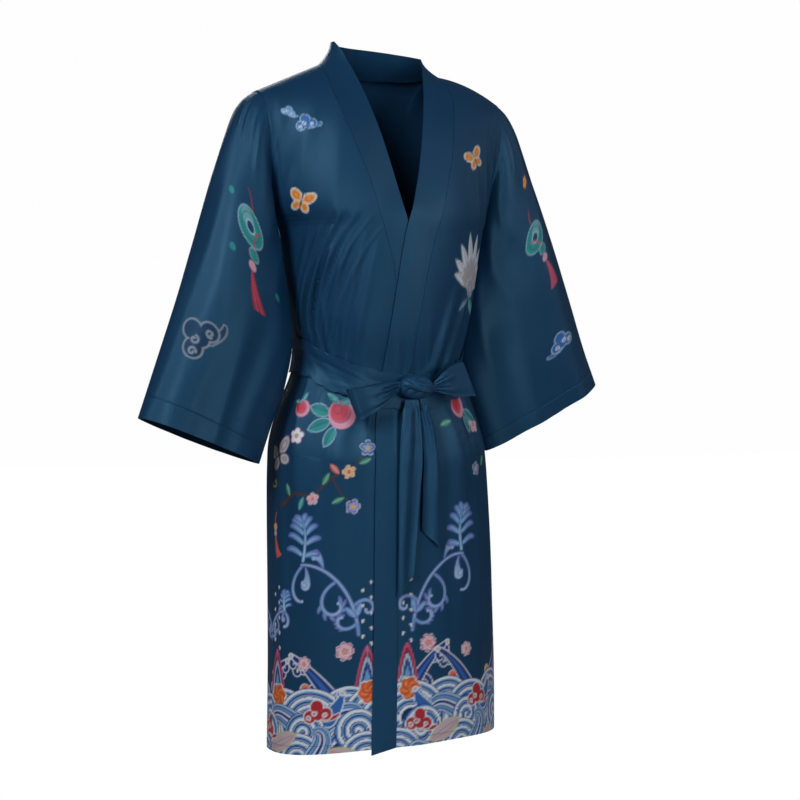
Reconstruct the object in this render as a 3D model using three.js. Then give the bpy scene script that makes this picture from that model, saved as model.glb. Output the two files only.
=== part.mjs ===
// A short satin kimono robe as it hangs on its wearer, with its own belt tied in a bow.
// Millimetres, +Z up, the front faces -Y and the wearer's left is +X. The origin is on the
// line of the two points where shoulder seam and neckband meet, midway between them.
import * as THREE from "three";

// Driving dimensions. A seam's gap is 0.3 mm at the inner faces of the walls, where it is
// narrowest, so the outer faces of two panels stand a little further apart.
const WALL = 1.6;
const BOW_WALL = 1.2;
const SEAM = 0.3;
const SEAM_SIDE = 0.45;
const HEM = -995;
const ARMPIT = -230;
const NECK_HALF = 98;
const NECK_Z = 6;
const SHOULDER_HALF = 200;
const BACK_NECK_DEPTH = 84;
const BACK_NECK_RISE = 3;
const OVERLAP_LIFT = 2.8;
const BELT_TOP = -394;
const BELT_FOOT = -446;
const BELT_SAG = 55;
const HEM_RISE = 13;
const HEM_RISE_LEFT = 9;
const FULLNESS = 0.07;
const FLATNESS = 1.9;
const CORNER_DROOP = 8;

const vec = (x, y, z) => new THREE.Vector3(x, y, z);
const rad = THREE.MathUtils.degToRad;
const { lerp, clamp, smoothstep } = THREE.MathUtils;

// Body outline: at each height the half width at the side seams, the depth of front and back,
// and how far the hips are shifted to the wearer's left
const BODY = [
  { level: HEM, side: 180, front: 117, back: 108, shift: 8 },
  { level: -900, side: 179, front: 116, back: 108, shift: 8 },
  { level: -780, side: 177, front: 115, back: 108, shift: 6.5 },
  { level: -660, side: 174, front: 115, back: 112, shift: 3.5 },
  { level: -560, side: 170, front: 116, back: 115, shift: 1 },
  { level: -500, side: 156, front: 110, back: 107, shift: 0 },
  { level: BELT_FOOT, side: 134, front: 98, back: 92, shift: 0 },
  { level: -420, side: 129, front: 95, back: 88, shift: 0 },
  { level: BELT_TOP, side: 132, front: 97, back: 89, shift: 0 },
  { level: -340, side: 146, front: 107, back: 94, shift: 0 },
  { level: -282, side: 157, front: 115, back: 100, shift: 0 },
  { level: ARMPIT, side: 165, front: 119, back: 104, shift: 0 },
];

// Free edges of the fronts, as distances to their own side of the centre line. Above the
// armpit the band stands off the chest, so its edge has a depth and a height of its own.
const UNDER_EDGE = [
  { level: HEM, seam: -20, edge: -60 },
  { level: -800, seam: -15, edge: -54 },
  { level: -600, seam: -11, edge: -50 },
  { level: -500, seam: -5, edge: -44 },
  { level: -420, seam: 8, edge: -32 },
  { level: -360, seam: 16, edge: -24 },
  { level: -300, seam: 28, edge: -12 },
  { level: ARMPIT, seam: 51, edge: 14, y: -117, z: -222 },
  { level: -192, seam: 64, edge: 26, y: -105, z: -165 },
  { level: -153, seam: 81, edge: 39, y: -86, z: -100 },
  { level: -115, seam: 94, edge: 51, y: -60, z: -42 },
  { level: -77, seam: 101, edge: 63, y: -31, z: 8 },
  { level: -38, seam: 100, edge: 70, y: -13, z: 33 },
  { level: 0, seam: NECK_HALF, edge: 73, y: -1, z: 43 },
];
const OVER_EDGE = [
  { level: HEM, seam: -30, edge: -66 },
  { level: -800, seam: -26, edge: -62 },
  { level: -600, seam: -22, edge: -60 },
  { level: -500, seam: -18, edge: -57 },
  { level: -420, seam: -3, edge: -44 },
  { level: -360, seam: 7, edge: -36 },
  { level: -300, seam: 20, edge: -25 },
  { level: ARMPIT, seam: 42, edge: -8, y: -122, z: -223 },
  { level: -192, seam: 56, edge: 11, y: -108, z: -165 },
  { level: -153, seam: 75, edge: 30, y: -86, z: -100 },
  { level: -115, seam: 90, edge: 47, y: -59, z: -44 },
  { level: -77, seam: 100, edge: 61, y: -31, z: 0 },
  { level: -38, seam: 100, edge: 70, y: -13, z: 22 },
  { level: 0, seam: NECK_HALF, edge: 74, y: -1, z: 31 },
];

// Free edge of the band round the back of the neck: half width, depth and height at the centre
const BACK_BAND = { half: 73, deep: 62, z: 50, hollow: 5 };
// Where the band starts on its way from seam to free edge, and how far its edge is pulled up
const BAND_START = 0.028;
const BAND_PULL = 9;

// Folds of the body: turn in degrees from the centre of front or back (wearer's left is
// positive) at the belt and at the far end, the levels they run between, depth and width
const FOLDS = [
  { face: "front", start: -82, end: -56, from: BELT_TOP, to: -225, depth: 3.5, width: 3.2 },
  { face: "front", start: -73, end: -46, from: BELT_TOP, to: -210, depth: 4.5, width: 3.2 },
  { face: "front", start: -64, end: -37, from: BELT_TOP, to: -205, depth: 5, width: 3.1 },
  { face: "front", start: -55, end: -29, from: BELT_TOP, to: -212, depth: 4.6, width: 3 },
  { face: "front", start: -46, end: -22, from: BELT_TOP, to: -222, depth: 4, width: 3 },
  { face: "front", start: -37, end: -16, from: BELT_TOP, to: -240, depth: 3, width: 3 },
  { face: "front", start: 17, end: 31, from: BELT_TOP, to: -300, depth: 5, width: 4 },
  { face: "front", start: 30, end: 45, from: BELT_TOP, to: -290, depth: 3.5, width: 4 },
  { face: "front", start: 48, end: 60, from: BELT_TOP, to: -270, depth: 3, width: 4.5 },
  { face: "front", start: 68, end: 74, from: BELT_TOP, to: -260, depth: 3, width: 4.5 },
  { face: "front", start: -70, end: -62, from: BELT_FOOT, to: -760, depth: 5, width: 7 },
  { face: "front", start: -40, end: -38, from: BELT_FOOT, to: -840, depth: 4, width: 7 },
  { face: "front", start: 28, end: 24, from: BELT_FOOT, to: -900, depth: 4.5, width: 7 },
  { face: "front", start: 56, end: 52, from: BELT_FOOT, to: -940, depth: 5, width: 7 },
  { face: "back", start: -62, end: -50, from: BELT_TOP, to: -240, depth: 4, width: 4.5 },
  { face: "back", start: -38, end: -28, from: BELT_TOP, to: -225, depth: 5, width: 4.5 },
  { face: "back", start: -14, end: -9, from: BELT_TOP, to: -235, depth: 4, width: 4.5 },
  { face: "back", start: 10, end: 6, from: BELT_TOP, to: -220, depth: 4.5, width: 4.5 },
  { face: "back", start: 33, end: 24, from: BELT_TOP, to: -230, depth: 4, width: 4.5 },
  { face: "back", start: 58, end: 46, from: BELT_TOP, to: -245, depth: 5, width: 4.5 },
  { face: "back", start: -58, end: -60, from: BELT_FOOT, to: -900, depth: 5, width: 7 },
  { face: "back", start: -24, end: -28, from: BELT_FOOT, to: -960, depth: 6, width: 7 },
  { face: "back", start: 14, end: 18, from: BELT_FOOT, to: -930, depth: 5, width: 7 },
  { face: "back", start: 50, end: 54, from: BELT_FOOT, to: -900, depth: 6, width: 7 },
];

// Sleeves hanging over the arms: upper and lower fold line of each. The wearer's left arm is
// held a little higher and further out than the right one.
const SLEEVE_RIGHT = [
  { reach: 0, topX: 200, topZ: -42, footX: 167, footZ: -231 },
  { reach: 0.05, topX: 219, topZ: -58, footX: 165, footZ: -246 },
  { reach: 0.12, topX: 234, topZ: -84, footX: 162, footZ: -268 },
  { reach: 0.3, topX: 264, topZ: -160, footX: 154, footZ: -330 },
  { reach: 0.5, topX: 298, topZ: -267, footX: 148, footZ: -400 },
  { reach: 0.7, topX: 329, topZ: -357, footX: 162, footZ: -466 },
  { reach: 0.86, topX: 357, topZ: -438, footX: 184, footZ: -524 },
  { reach: 1, topX: 382, topZ: -511, footX: 203, footZ: -578 },
];
const SLEEVE_LEFT = [
  { reach: 0, topX: 200, topZ: -27, footX: 167, footZ: -231 },
  { reach: 0.05, topX: 217, topZ: -41, footX: 165, footZ: -246 },
  { reach: 0.12, topX: 234, topZ: -66, footX: 162, footZ: -268 },
  { reach: 0.3, topX: 268, topZ: -142, footX: 154, footZ: -330 },
  { reach: 0.5, topX: 309, topZ: -237, footX: 150, footZ: -398 },
  { reach: 0.7, topX: 345, topZ: -327, footX: 160, footZ: -460 },
  { reach: 0.86, topX: 373, topZ: -401, footX: 179, footZ: -515 },
  { reach: 1, topX: 399, topZ: -459, footX: 197, footZ: -566 },
];
// Depth of both sleeves before and behind their fold lines, and how far they swing
const SLEEVE_DEPTH = [
  { reach: 0, fore: 45, aft: 42, swing: 0 },
  { reach: 0.12, fore: 50, aft: 49, swing: 4 },
  { reach: 0.3, fore: 52, aft: 51, swing: 10 },
  { reach: 0.5, fore: 54, aft: 52, swing: 16 },
  { reach: 0.7, fore: 50, aft: 49, swing: 21 },
  { reach: 1, fore: 39, aft: 41, swing: 24 },
];
const ARMS = {
  right: { side: -1, lines: SLEEVE_RIGHT, armholeBow: 0.55, ridgeBow: 0, ahead: 1 },
  left: { side: 1, lines: SLEEVE_LEFT, armholeBow: 1.2, ridgeBow: 7, ahead: -0.5 },
};
const ARMHOLE_FORE = 45;
const ARMHOLE_AFT = 42;
// How fast front and back climb over the shoulder
const FRONT_RISE = 1.22;
const BACK_RISE = 0.87;

// Reads one column of a table between its rows, along a smooth curve
function read(table, key, column, at) {
  const rows = table[0][key] < table[table.length - 1][key] ? table : [...table].reverse();
  const n = rows.length;
  const x = clamp(at, rows[0][key], rows[n - 1][key]);
  let i = 0;
  while (i < n - 2 && x > rows[i + 1][key]) i += 1;
  const slope = (a, b) => (rows[b][column] - rows[a][column]) / (rows[b][key] - rows[a][key]);
  const here = slope(i, i + 1);
  const before = i > 0 ? slope(i - 1, i) : here;
  const after = i < n - 2 ? slope(i + 1, i + 2) : here;
  const tangent = (p, q) => (p * q <= 0 ? 0 : (2 * p * q) / (p + q));
  const span = rows[i + 1][key] - rows[i][key];
  const t = (x - rows[i][key]) / span;
  const [m0, m1] = [tangent(before, here) * span, tangent(here, after) * span];
  const [p0, p1] = [rows[i][column], rows[i + 1][column]];
  return (
    (2 * t ** 3 - 3 * t ** 2 + 1) * p0 +
    (t ** 3 - 2 * t ** 2 + t) * m0 +
    (3 * t ** 2 - 2 * t ** 3) * p1 +
    (t ** 3 - t ** 2) * m1
  );
}

// Two smooth profiles of a body section: how far out and how far forward a turn reaches
const outward = (turn) => Math.sin(turn) * (1 + FULLNESS * Math.cos(turn) ** 2);
const forward = (turn) => Math.cos(turn) * (1 + FULLNESS * Math.sin(turn) ** 2);

// How far the folds stand out at a turn (degrees) and level, each with a trough on both sides
function foldHeight(face, turn, level) {
  let height = 0;
  for (const fold of FOLDS) {
    if (fold.face !== face) continue;
    const along = (level - fold.from) / (fold.to - fold.from);
    if (along < 0 || along > 1) continue;
    const middle = lerp(fold.start, fold.end, along);
    const fade = Math.sin(Math.PI * Math.sqrt(along)) ** 0.8;
    const off = ((turn - middle) / fold.width) ** 2;
    height += fold.depth * fade * (Math.exp(-off) - 0.45 * Math.exp(-off / 5));
  }
  return height;
}

// Height added to a level: the belt sags at the front and the hem rises a little there
function sag(turn, level, face) {
  const ahead = face === "front" ? Math.max(0, Math.cos(turn)) : 0;
  const nearBelt = smoothstep(level, -640, BELT_FOOT) * (1 - smoothstep(level, BELT_TOP, -250));
  const nearHem = 1 - smoothstep(level, HEM, -700);
  const leftward = Math.max(0, Math.sin(turn));
  const rise = HEM_RISE * ahead ** 2 + HEM_RISE_LEFT * leftward;
  return rise * nearHem - BELT_SAG * nearBelt * ahead ** 1.5;
}

// Bare surface of one face of the body. Turn runs from -90 to 90 degrees, from the wearer's
// right side seam to the left one; above the armpit level stands for the way up to the
// shoulder seam or the back of the neck, at level 0.
function bareBody(face, turnDegrees, level) {
  const turn = rad(turnDegrees);
  const side = Math.sign(turn) || 1;
  const sign = face === "front" ? -1 : 1;
  const row = (column) => read(BODY, "level", column, Math.min(level, ARMPIT));
  if (level <= ARMPIT) {
    const y = sign * (row(face) * forward(turn) + SEAM_SIDE);
    const x = row("side") * outward(turn) + row("shift");
    return vec(x, y, level + sag(turn, level, face));
  }
  const climb = rad(90 * (1 - level / ARMPIT));
  const power = face === "front" ? FRONT_RISE : BACK_RISE;
  const up = Math.sin(climb) ** power;
  const ahead = Math.cos(climb) ** power;
  const s = Math.abs(outward(turn));
  const arm = side > 0 ? ARMS.left : ARMS.right;
  const armhole = lerp(row("side"), SHOULDER_HALF, Math.sin(climb) ** arm.armholeBow);
  const armholeY = (face === "front" ? ARMHOLE_FORE : ARMHOLE_AFT) * Math.sin(2 * climb);
  const round = lerp(Math.abs(forward(turn)), 1 - s ** 3, smoothstep(climb, 0, rad(40)));
  const topX = s * SHOULDER_HALF;
  const inNeck = clamp(1 - (topX / NECK_HALF) ** 2, 0, 1);
  const nape = lerp(1 - smoothstep(s, 0.1, 0.85), Math.sqrt(inNeck), up ** 8);
  const topY = face === "back" ? BACK_NECK_DEPTH * nape : 0;
  const along = (topX - NECK_HALF) / (SHOULDER_HALF - NECK_HALF);
  const bow = 4 * arm.ridgeBow * Math.max(0, along * (1 - along));
  const ridge = lerp(NECK_Z, arm.lines[0].topZ, along) + bow;
  const topZ = face === "back" && topX < NECK_HALF ? NECK_Z + BACK_NECK_RISE * inNeck : ridge;
  const chest = lerp(armholeY, row(face) * ahead + topY * (1 - ahead), round);
  const y = sign * (chest + SEAM_SIDE);
  return vec(side * s * armhole, y, lerp(ARMPIT, topZ, up));
}

// Surface of the body with its folds, raised by a lift along the normal
function body(face, turn, level, lift = 0) {
  const outer = (t, l) => {
    const p = bareBody(face, t, l);
    const fold = foldHeight(face, t, l);
    const flat = vec(p.x / FLATNESS, p.y, 0).normalize();
    return p.addScaledVector(flat, fold);
  };
  const point = outer(turn, level);
  if (lift === 0) return point;
  const step = 0.4;
  const [t0, t1] = [Math.max(turn - step, -90), Math.min(turn + step, 90)];
  const [l0, l1] = [Math.max(level - step, HEM), Math.min(level + step, 0)];
  const across = outer(t1, level).sub(outer(t0, level));
  const upward = outer(turn, l1).sub(outer(turn, l0));
  const normal = across.cross(upward).normalize();
  return point.addScaledVector(normal, face === "front" ? lift : -lift);
}

// Turn in degrees at which a face of the body is a given distance from the centre line
function turnAt(face, x, level) {
  let [low, high] = [-90, 90];
  for (let i = 0; i < 24; i += 1) {
    const middle = (low + high) / 2;
    if (bareBody(face, middle, level).x < x) low = middle;
    else high = middle;
  }
  return (low + high) / 2;
}

// How much of the overlap's lift a point has: all of it in front, none at sides and shoulders
function overlap(turn, level) {
  const sideways = 1 - smoothstep(Math.abs(turn), 30, 60);
  return OVERLAP_LIFT * sideways * (1 - smoothstep(level, -222, -130));
}

// Closed wall from a grid of points on its outer face. A ring grid joins its last column to
// its first. The inner face lies one wall behind the outer one.
function wallSolid(grid, { ring = false, flip = false, wall = WALL } = {}) {
  const rows = grid.length;
  const columns = grid[0].length;
  const at = (i, j) => {
    const row = grid[clamp(i, 0, rows - 1)];
    return ring ? row[(j + columns) % columns] : row[clamp(j, 0, columns - 1)];
  };
  const outer = [];
  const inner = [];
  for (let i = 0; i < rows; i += 1) {
    for (let j = 0; j < columns; j += 1) {
      const across = at(i, j + 1).clone().sub(at(i, j - 1));
      const along = at(i + 1, j).clone().sub(at(i - 1, j));
      const normal = across.cross(along).normalize().multiplyScalar(flip ? -wall : wall);
      outer.push(at(i, j));
      inner.push(at(i, j).clone().sub(normal));
    }
  }
  const positions = [...outer, ...inner].flatMap((p) => [p.x, p.y, p.z]);
  const shift = outer.length;
  const index = [];
  const quad = (a, b, c, d) => {
    if (flip) index.push(a, c, b, a, d, c);
    else index.push(a, b, c, a, c, d);
  };
  const last = ring ? columns : columns - 1;
  for (let i = 0; i < rows - 1; i += 1) {
    for (let j = 0; j < last; j += 1) {
      const k = (j + 1) % columns;
      const [a, b] = [i * columns + j, i * columns + k];
      const [c, d] = [b + columns, a + columns];
      quad(a, b, c, d);
      quad(shift + b, shift + a, shift + d, shift + c);
    }
  }
  for (let j = 0; j < last; j += 1) {
    const k = (j + 1) % columns;
    const top = (rows - 1) * columns;
    quad(k, j, shift + j, shift + k);
    quad(top + j, top + k, shift + top + k, shift + top + j);
  }
  if (!ring) {
    for (let i = 0; i < rows - 1; i += 1) {
      const [a, d] = [i * columns, (i + 1) * columns];
      const [b, c] = [a + columns - 1, d + columns - 1];
      quad(a, d, shift + d, shift + a);
      quad(c, b, shift + b, shift + c);
    }
  }
  const geometry = new THREE.BufferGeometry();
  geometry.setAttribute("position", new THREE.Float32BufferAttribute(positions, 3));
  geometry.setIndex(index);
  geometry.computeVertexNormals();
  return geometry;
}

const SATIN = new THREE.MeshStandardMaterial({ color: "#1d3b58", roughness: 0.35, metalness: 0 });
const robe = new THREE.Group();
function add(name, geometry) {
  const mesh = new THREE.Mesh(geometry, SATIN.clone());
  mesh.name = name;
  robe.add(mesh);
}
const steps = (from, to, count) => Array.from({ length: count + 1 }, (_, i) => lerp(from, to, i / count));

// Levels of the rows that all body pieces share, from the hem up
const SKIRT_ROWS = [HEM, -930, -865, -800, -735, -670, -612, -565, -525, -492, -466];
const BELT_ROWS = steps(BELT_FOOT, BELT_TOP, 3);
const CHEST_ROWS = [-374, -352, -330, -308, -286, -266, -248, ARMPIT];
const SHOULDER_ROWS = steps(ARMPIT, 0, 9).slice(1);
const ROWS = [...SKIRT_ROWS, ...BELT_ROWS, ...CHEST_ROWS, ...SHOULDER_ROWS];

// Back panel, with its neckline at the top between the shoulder seams
function backPanel() {
  const neckTurn = (part) => turnAt("back", 0.999 * NECK_HALF * Math.sin(rad(90 * part)), 0);
  const half = [
    ...steps(0, 1, 7).map(neckTurn),
    ...steps(turnAt("back", NECK_HALF, 0), 90, 6).slice(1),
  ];
  const turns = [...half.slice(1).reverse().map((turn) => -turn), ...half];
  return wallSolid(
    ROWS.map((level) => turns.map((turn) => body("back", turn, level))),
    { flip: true },
  );
}

// Front panel of one side, from the seam of its band to the side seam and armhole
function frontPanel({ side, edges, over, columns }) {
  const grid = ROWS.map((level) => {
    const seam = read(edges, "level", "seam", level);
    const start = turnAt("front", side * seam, level);
    return steps(start, side * 90, columns).map((turn) =>
      body("front", turn, level, over ? overlap(turn, level) : 0),
    );
  });
  return wallSolid(grid, { flip: side < 0 });
}

// Band of one side, from the centre of the back neck round to the hem of the front edge
function neckBand({ side, edges, over }) {
  const parts = steps(BAND_START, 1, 4);
  const hollow = (p, q, m, amount) => {
    const outer = vec(p.x, p.y, 0).normalize();
    return p.clone().lerp(q, m).addScaledVector(outer, -4 * m * (1 - m) * amount);
  };
  const last = edges[edges.length - 1];
  const behind = steps(0, 90, 7).map((angle) => {
    const [s, c] = [Math.sin(rad(angle)), Math.cos(rad(angle))];
    const x = Math.max(NECK_HALF * s, SEAM_SIDE);
    const baseZ = NECK_Z + 3 * SEAM * c + BACK_NECK_RISE * c * c;
    const base = vec(side * x, BACK_NECK_DEPTH * c + SEAM_SIDE, baseZ);
    const edgeZ = lerp(last.z, BACK_BAND.z, c);
    const edgeX = Math.max(lerp(last.edge, BACK_BAND.half, c) * s, SEAM_SIDE);
    const edge = vec(side * edgeX, lerp(last.y, BACK_BAND.deep, c), edgeZ);
    return parts.map((m) => hollow(base, edge, m, BACK_BAND.hollow));
  });
  const front = [...ROWS].reverse().map((level) => {
    const [seam, edge] = ["seam", "edge"].map((column) => read(edges, "level", column, level));
    const lift = (turn) => (over ? overlap(turn, level) : 0);
    if (level >= ARMPIT) {
      const start = turnAt("front", side * seam, level);
      const base = body("front", start, level, lift(start));
      const high = edges.filter((row) => row.level >= ARMPIT);
      const free = vec(side * edge, read(high, "level", "y", level), read(high, "level", "z", level));
      const amount = BACK_BAND.hollow * smoothstep(level, -150, 0);
      return parts.map((m) => hollow(base, free, m, amount));
    }
    return parts.map((m) => {
      const turn = turnAt("front", side * lerp(seam, edge, m), level);
      const point = body("front", turn, level, lift(turn));
      point.z += BAND_PULL * m * smoothstep(level, -330, ARMPIT);
      if (over) point.z -= CORNER_DROOP * m * (1 - smoothstep(level, HEM, -880));
      return point;
    });
  });
  return wallSolid([...behind.slice(0, -1), ...front], { flip: side < 0 });
}

// Sleeve of one arm: rings from the armhole to the cuff
function sleeve({ side, lines, armholeBow, ahead }) {
  const arm = (reach, angle) => {
    const line = (column) => read(lines, "reach", column, reach);
    const depth = (column) => read(SLEEVE_DEPTH, "reach", column, reach);
    const top = vec(line("topX"), 0, line("topZ"));
    const point = vec(line("footX"), 0, line("footZ")).lerp(top, (1 + Math.cos(angle)) / 2);
    point.y = -ahead * depth("swing") - depth(Math.sin(angle) > 0 ? "fore" : "aft") * Math.sin(angle);
    return point;
  };
  const armhole = (angle) => {
    const fore = angle <= Math.PI;
    const climb = (Math.PI - (fore ? angle : 2 * Math.PI - angle)) / 2;
    const x = lerp(lines[0].footX - 2, SHOULDER_HALF, Math.sin(climb) ** armholeBow);
    const up = Math.sin(climb) ** (fore ? FRONT_RISE : BACK_RISE);
    const y = fore ? -ARMHOLE_FORE * Math.sin(2 * climb) : ARMHOLE_AFT * Math.sin(2 * climb);
    return vec(x, y, lerp(ARMPIT, lines[0].topZ, up));
  };
  const reaches = [0, 0.04, 0.09, 0.16, 0.25, 0.35, 0.47, 0.6, 0.72, 0.84, 0.93, 1];
  const angles = steps(0, 2 * Math.PI, 24).slice(0, -1);
  const grid = reaches.map((reach) =>
    angles.map((angle) => {
      const seated = armhole(angle).sub(arm(0, angle));
      const point = arm(reach, angle).addScaledVector(seated, 1 - smoothstep(reach, 0, 0.3));
      const nearFoot = (1 - Math.cos(angle)) / 2;
      point.x += lerp(4 * SEAM, 8 * SEAM, nearFoot ** 3) * (1 - smoothstep(reach, 0.1, 0.4));
      point.x *= side;
      return point;
    }),
  );
  return wallSolid(grid, { ring: true, flip: side < 0 });
}

// Belt round the waist, over the fronts, with one lengthwise crease
const BELT_CLEAR = 1;
const BELT_CREASE = 0.3;
function beltWaist() {
  const grid = BELT_ROWS.map((level, row) =>
    steps(0, 360, 52)
      .slice(0, -1)
      .map((around) => {
        const face = around > 90 && around < 270 ? "back" : "front";
        const turn = face === "back" ? 180 - around : around > 180 ? around - 360 : around;
        const raised = face === "front" ? overlap(turn, level) : 0;
        const crease = row === 2 ? -BELT_CREASE : BELT_CREASE;
        return body(face, turn, level, raised + BELT_CLEAR + WALL + crease);
      }),
  );
  return wallSolid(grid, { ring: true });
}

// Knot of the belt: a wad of cloth wrapped by one turn of the belt, with blunt ends
const KNOT = { x: 4, z: -468, half: 27, high: 18, deep: 13, clear: 0.4 };
const beltFront = body("front", 0, -420, OVERLAP_LIFT + BELT_CLEAR + BELT_CREASE + WALL).y;
const knotY = beltFront - KNOT.deep - KNOT.clear;
function beltKnot() {
  const geometry = new THREE.SphereGeometry(1, 22, 14);
  const place = geometry.getAttribute("position");
  for (let i = 0; i < place.count; i += 1) {
    const [x, y, z] = [place.getX(i), place.getZ(i), place.getY(i)];
    const groove = 1 - 0.12 * Math.cos(7 * (x * 0.8 + z * 0.5)) * (1 - z * z);
    const blunt = x * (1.4 - 0.4 * x * x);
    place.setXYZ(
      i,
      KNOT.x + KNOT.half * blunt * (1 - 0.25 * z * z),
      knotY - KNOT.deep * y * (y > 0 ? groove : 1),
      KNOT.z + KNOT.high * z * groove,
    );
  }
  return geometry;
}

// Loops of the bow: a strip leaves the knot in front, turns round and comes back behind. Each
// row is one distance from the knot, with the height of its upper and lower edge.
const LOOP_RIGHT = [
  { away: 0, x: 23.5, top: -461, foot: -474, y: 0 },
  { away: 0.3, x: 46, top: -463, foot: -490, y: 0 },
  { away: 0.6, x: 65, top: -467, foot: -501, y: 0 },
  { away: 1, x: 90, top: -472, foot: -514, y: 3 },
];
const LOOP_LEFT = [
  { away: 0, x: 31.5, top: -461, foot: -474, y: 0 },
  { away: 0.3, x: 46, top: -448, foot: -478, y: -2 },
  { away: 0.6, x: 64, top: -438, foot: -482, y: 1 },
  { away: 1, x: 88, top: -432, foot: -481, y: 5 },
];
const LOOP_ROUND = 8;
function bowLoop({ side, rows, slant }) {
  const path = [
    ...steps(0, 1, 6).map((away) => ({ away, deep: 1, out: 0 })),
    ...steps(90, -90, 6)
      .slice(1, -1)
      .map((turn) => ({ away: 1, deep: Math.sin(rad(turn)), out: Math.cos(rad(turn)) })),
    ...steps(1, 0, 6).map((away) => ({ away, deep: -1, out: 0 })),
  ];
  const grid = path.map(({ away, deep, out }) =>
    steps(0, 1, 4).map((m) => {
      const row = (column) => read(rows, "away", column, away);
      const open = lerp(0.35, 1, Math.sin(away * 2.2)) * LOOP_ROUND * (0.75 + 0.5 * m);
      const x = row("x") + out * LOOP_ROUND + slant * away * (2 * m - 1);
      return vec(side * x, knotY + row("y") - deep * open, lerp(row("foot"), row("top"), m));
    }),
  );
  return wallSolid(grid, { flip: side > 0, wall: BOW_WALL });
}

// Hanging ends of the belt, over the front of the skirt: the place of both edges, and where
// each edge of the slanted end lies
const TAIL_LONG = [
  { level: -434.2, left: -12, right: 8 },
  { level: -500, left: -25, right: 10 },
  { level: -600, left: -27, right: 6 },
  { level: -780, left: -29, right: -9 },
];
const TAIL_SHORT = [
  { level: -433, left: 10.5, right: 20 },
  { level: -500, left: 13, right: 33 },
  { level: -600, left: 11, right: 37 },
  { level: -700, left: 9, right: 39 },
];
const TAIL_LIFT = 6.6;
const TAIL_STAND = 8;
function beltTail({ edges, endLeft, endRight, wave }) {
  const grid = steps(1, 0, 14).map((part) =>
    steps(0, 1, 6).map((m) => {
      const level = lerp(edges[0].level, lerp(endLeft, endRight, m), part);
      const [left, right] = ["left", "right"].map((column) => read(edges, "level", column, level));
      const turn = turnAt("front", lerp(left, right, m), level);
      const stand = TAIL_STAND * (1 - smoothstep(part, 0, 0.35));
      const ripple = wave * Math.sin(2 * Math.PI * m) * smoothstep(part, 0, 0.1);
      return body("front", turn, level, OVERLAP_LIFT + TAIL_LIFT + ripple + stand);
    }),
  );
  return wallSolid(grid, { wall: BOW_WALL });
}

add("back", backPanel());
add("front_under", frontPanel({ side: -1, edges: UNDER_EDGE, over: false, columns: 26 }));
add("front_over", frontPanel({ side: 1, edges: OVER_EDGE, over: true, columns: 18 }));
add("neckband_under", neckBand({ side: -1, edges: UNDER_EDGE, over: false }));
add("neckband_over", neckBand({ side: 1, edges: OVER_EDGE, over: true }));
add("sleeve_right", sleeve(ARMS.right));
add("sleeve_left", sleeve(ARMS.left));
add("belt_waist", beltWaist());
add("belt_knot", beltKnot());
add("bow_loop_right", bowLoop({ side: -1, rows: LOOP_RIGHT, slant: 9 }));
add("bow_loop_left", bowLoop({ side: 1, rows: LOOP_LEFT, slant: -11 }));
add("belt_tail_long", beltTail({ edges: TAIL_LONG, endLeft: -771, endRight: -738, wave: 2 }));
add("belt_tail_short", beltTail({ edges: TAIL_SHORT, endLeft: -674, endRight: -700, wave: -2 }));

export default robe;
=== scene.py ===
# %% [markdown]
# # A satin kimono robe with its belt
# The robe is a set of thin sheets: back, two fronts, a plain band in two halves, two wide
# sleeves, and a belt tied in a bow. A sheet of cloth could be simulated, but here each one
# is placed by formulas, so that it hangs just as the solid model of it does. This first cell
# loads that model. Every length below is in millimetres until a mesh is made from it.

# %% The frame
import bpy
import numpy as np
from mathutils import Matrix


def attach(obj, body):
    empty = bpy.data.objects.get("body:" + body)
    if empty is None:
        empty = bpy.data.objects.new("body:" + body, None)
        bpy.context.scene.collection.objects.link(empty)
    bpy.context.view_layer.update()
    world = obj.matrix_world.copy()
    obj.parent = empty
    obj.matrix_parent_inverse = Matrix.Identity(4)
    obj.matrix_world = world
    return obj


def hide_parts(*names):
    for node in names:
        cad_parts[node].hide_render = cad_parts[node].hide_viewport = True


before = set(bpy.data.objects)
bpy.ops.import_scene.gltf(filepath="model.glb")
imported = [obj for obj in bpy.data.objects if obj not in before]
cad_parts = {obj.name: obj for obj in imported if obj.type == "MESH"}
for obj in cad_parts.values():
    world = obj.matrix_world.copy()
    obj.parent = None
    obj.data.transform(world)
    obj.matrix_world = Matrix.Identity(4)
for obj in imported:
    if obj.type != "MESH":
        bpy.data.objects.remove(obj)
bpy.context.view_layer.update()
MM = 0.001
print("solids in the frame:", len(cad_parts))

# %% [markdown]
# ## Camera
# The robe is seen from a little to its wearer's right, level with its middle. The camera comes
# first, so that every later piece can be judged through it.

# %% Camera
CAMERA_PLACE = (-1.0965, -2.1347, -0.487)
CAMERA_TURN = 28
camera_data = bpy.data.cameras.new("camera")
camera_data.lens = 72
camera_data.sensor_width = 36
camera_data.clip_end = 60
camera = bpy.data.objects.new("camera", camera_data)
bpy.context.scene.collection.objects.link(camera)
camera.location = CAMERA_PLACE
camera.rotation_euler = (np.radians(90), 0, np.radians(-CAMERA_TURN))
bpy.context.scene.camera = camera
print("camera set, lens", camera_data.lens, "mm")

# %% [markdown]
# ## Sizes
# The main sizes of the robe: heights of hem, armpit and belt, the width of neck and shoulders,
# and how far the upper front stands off the lower one. The rows of BODY give, at a height, the
# half width, the depth of front and back and a sideways shift, like a tailor's measurements.

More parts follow.
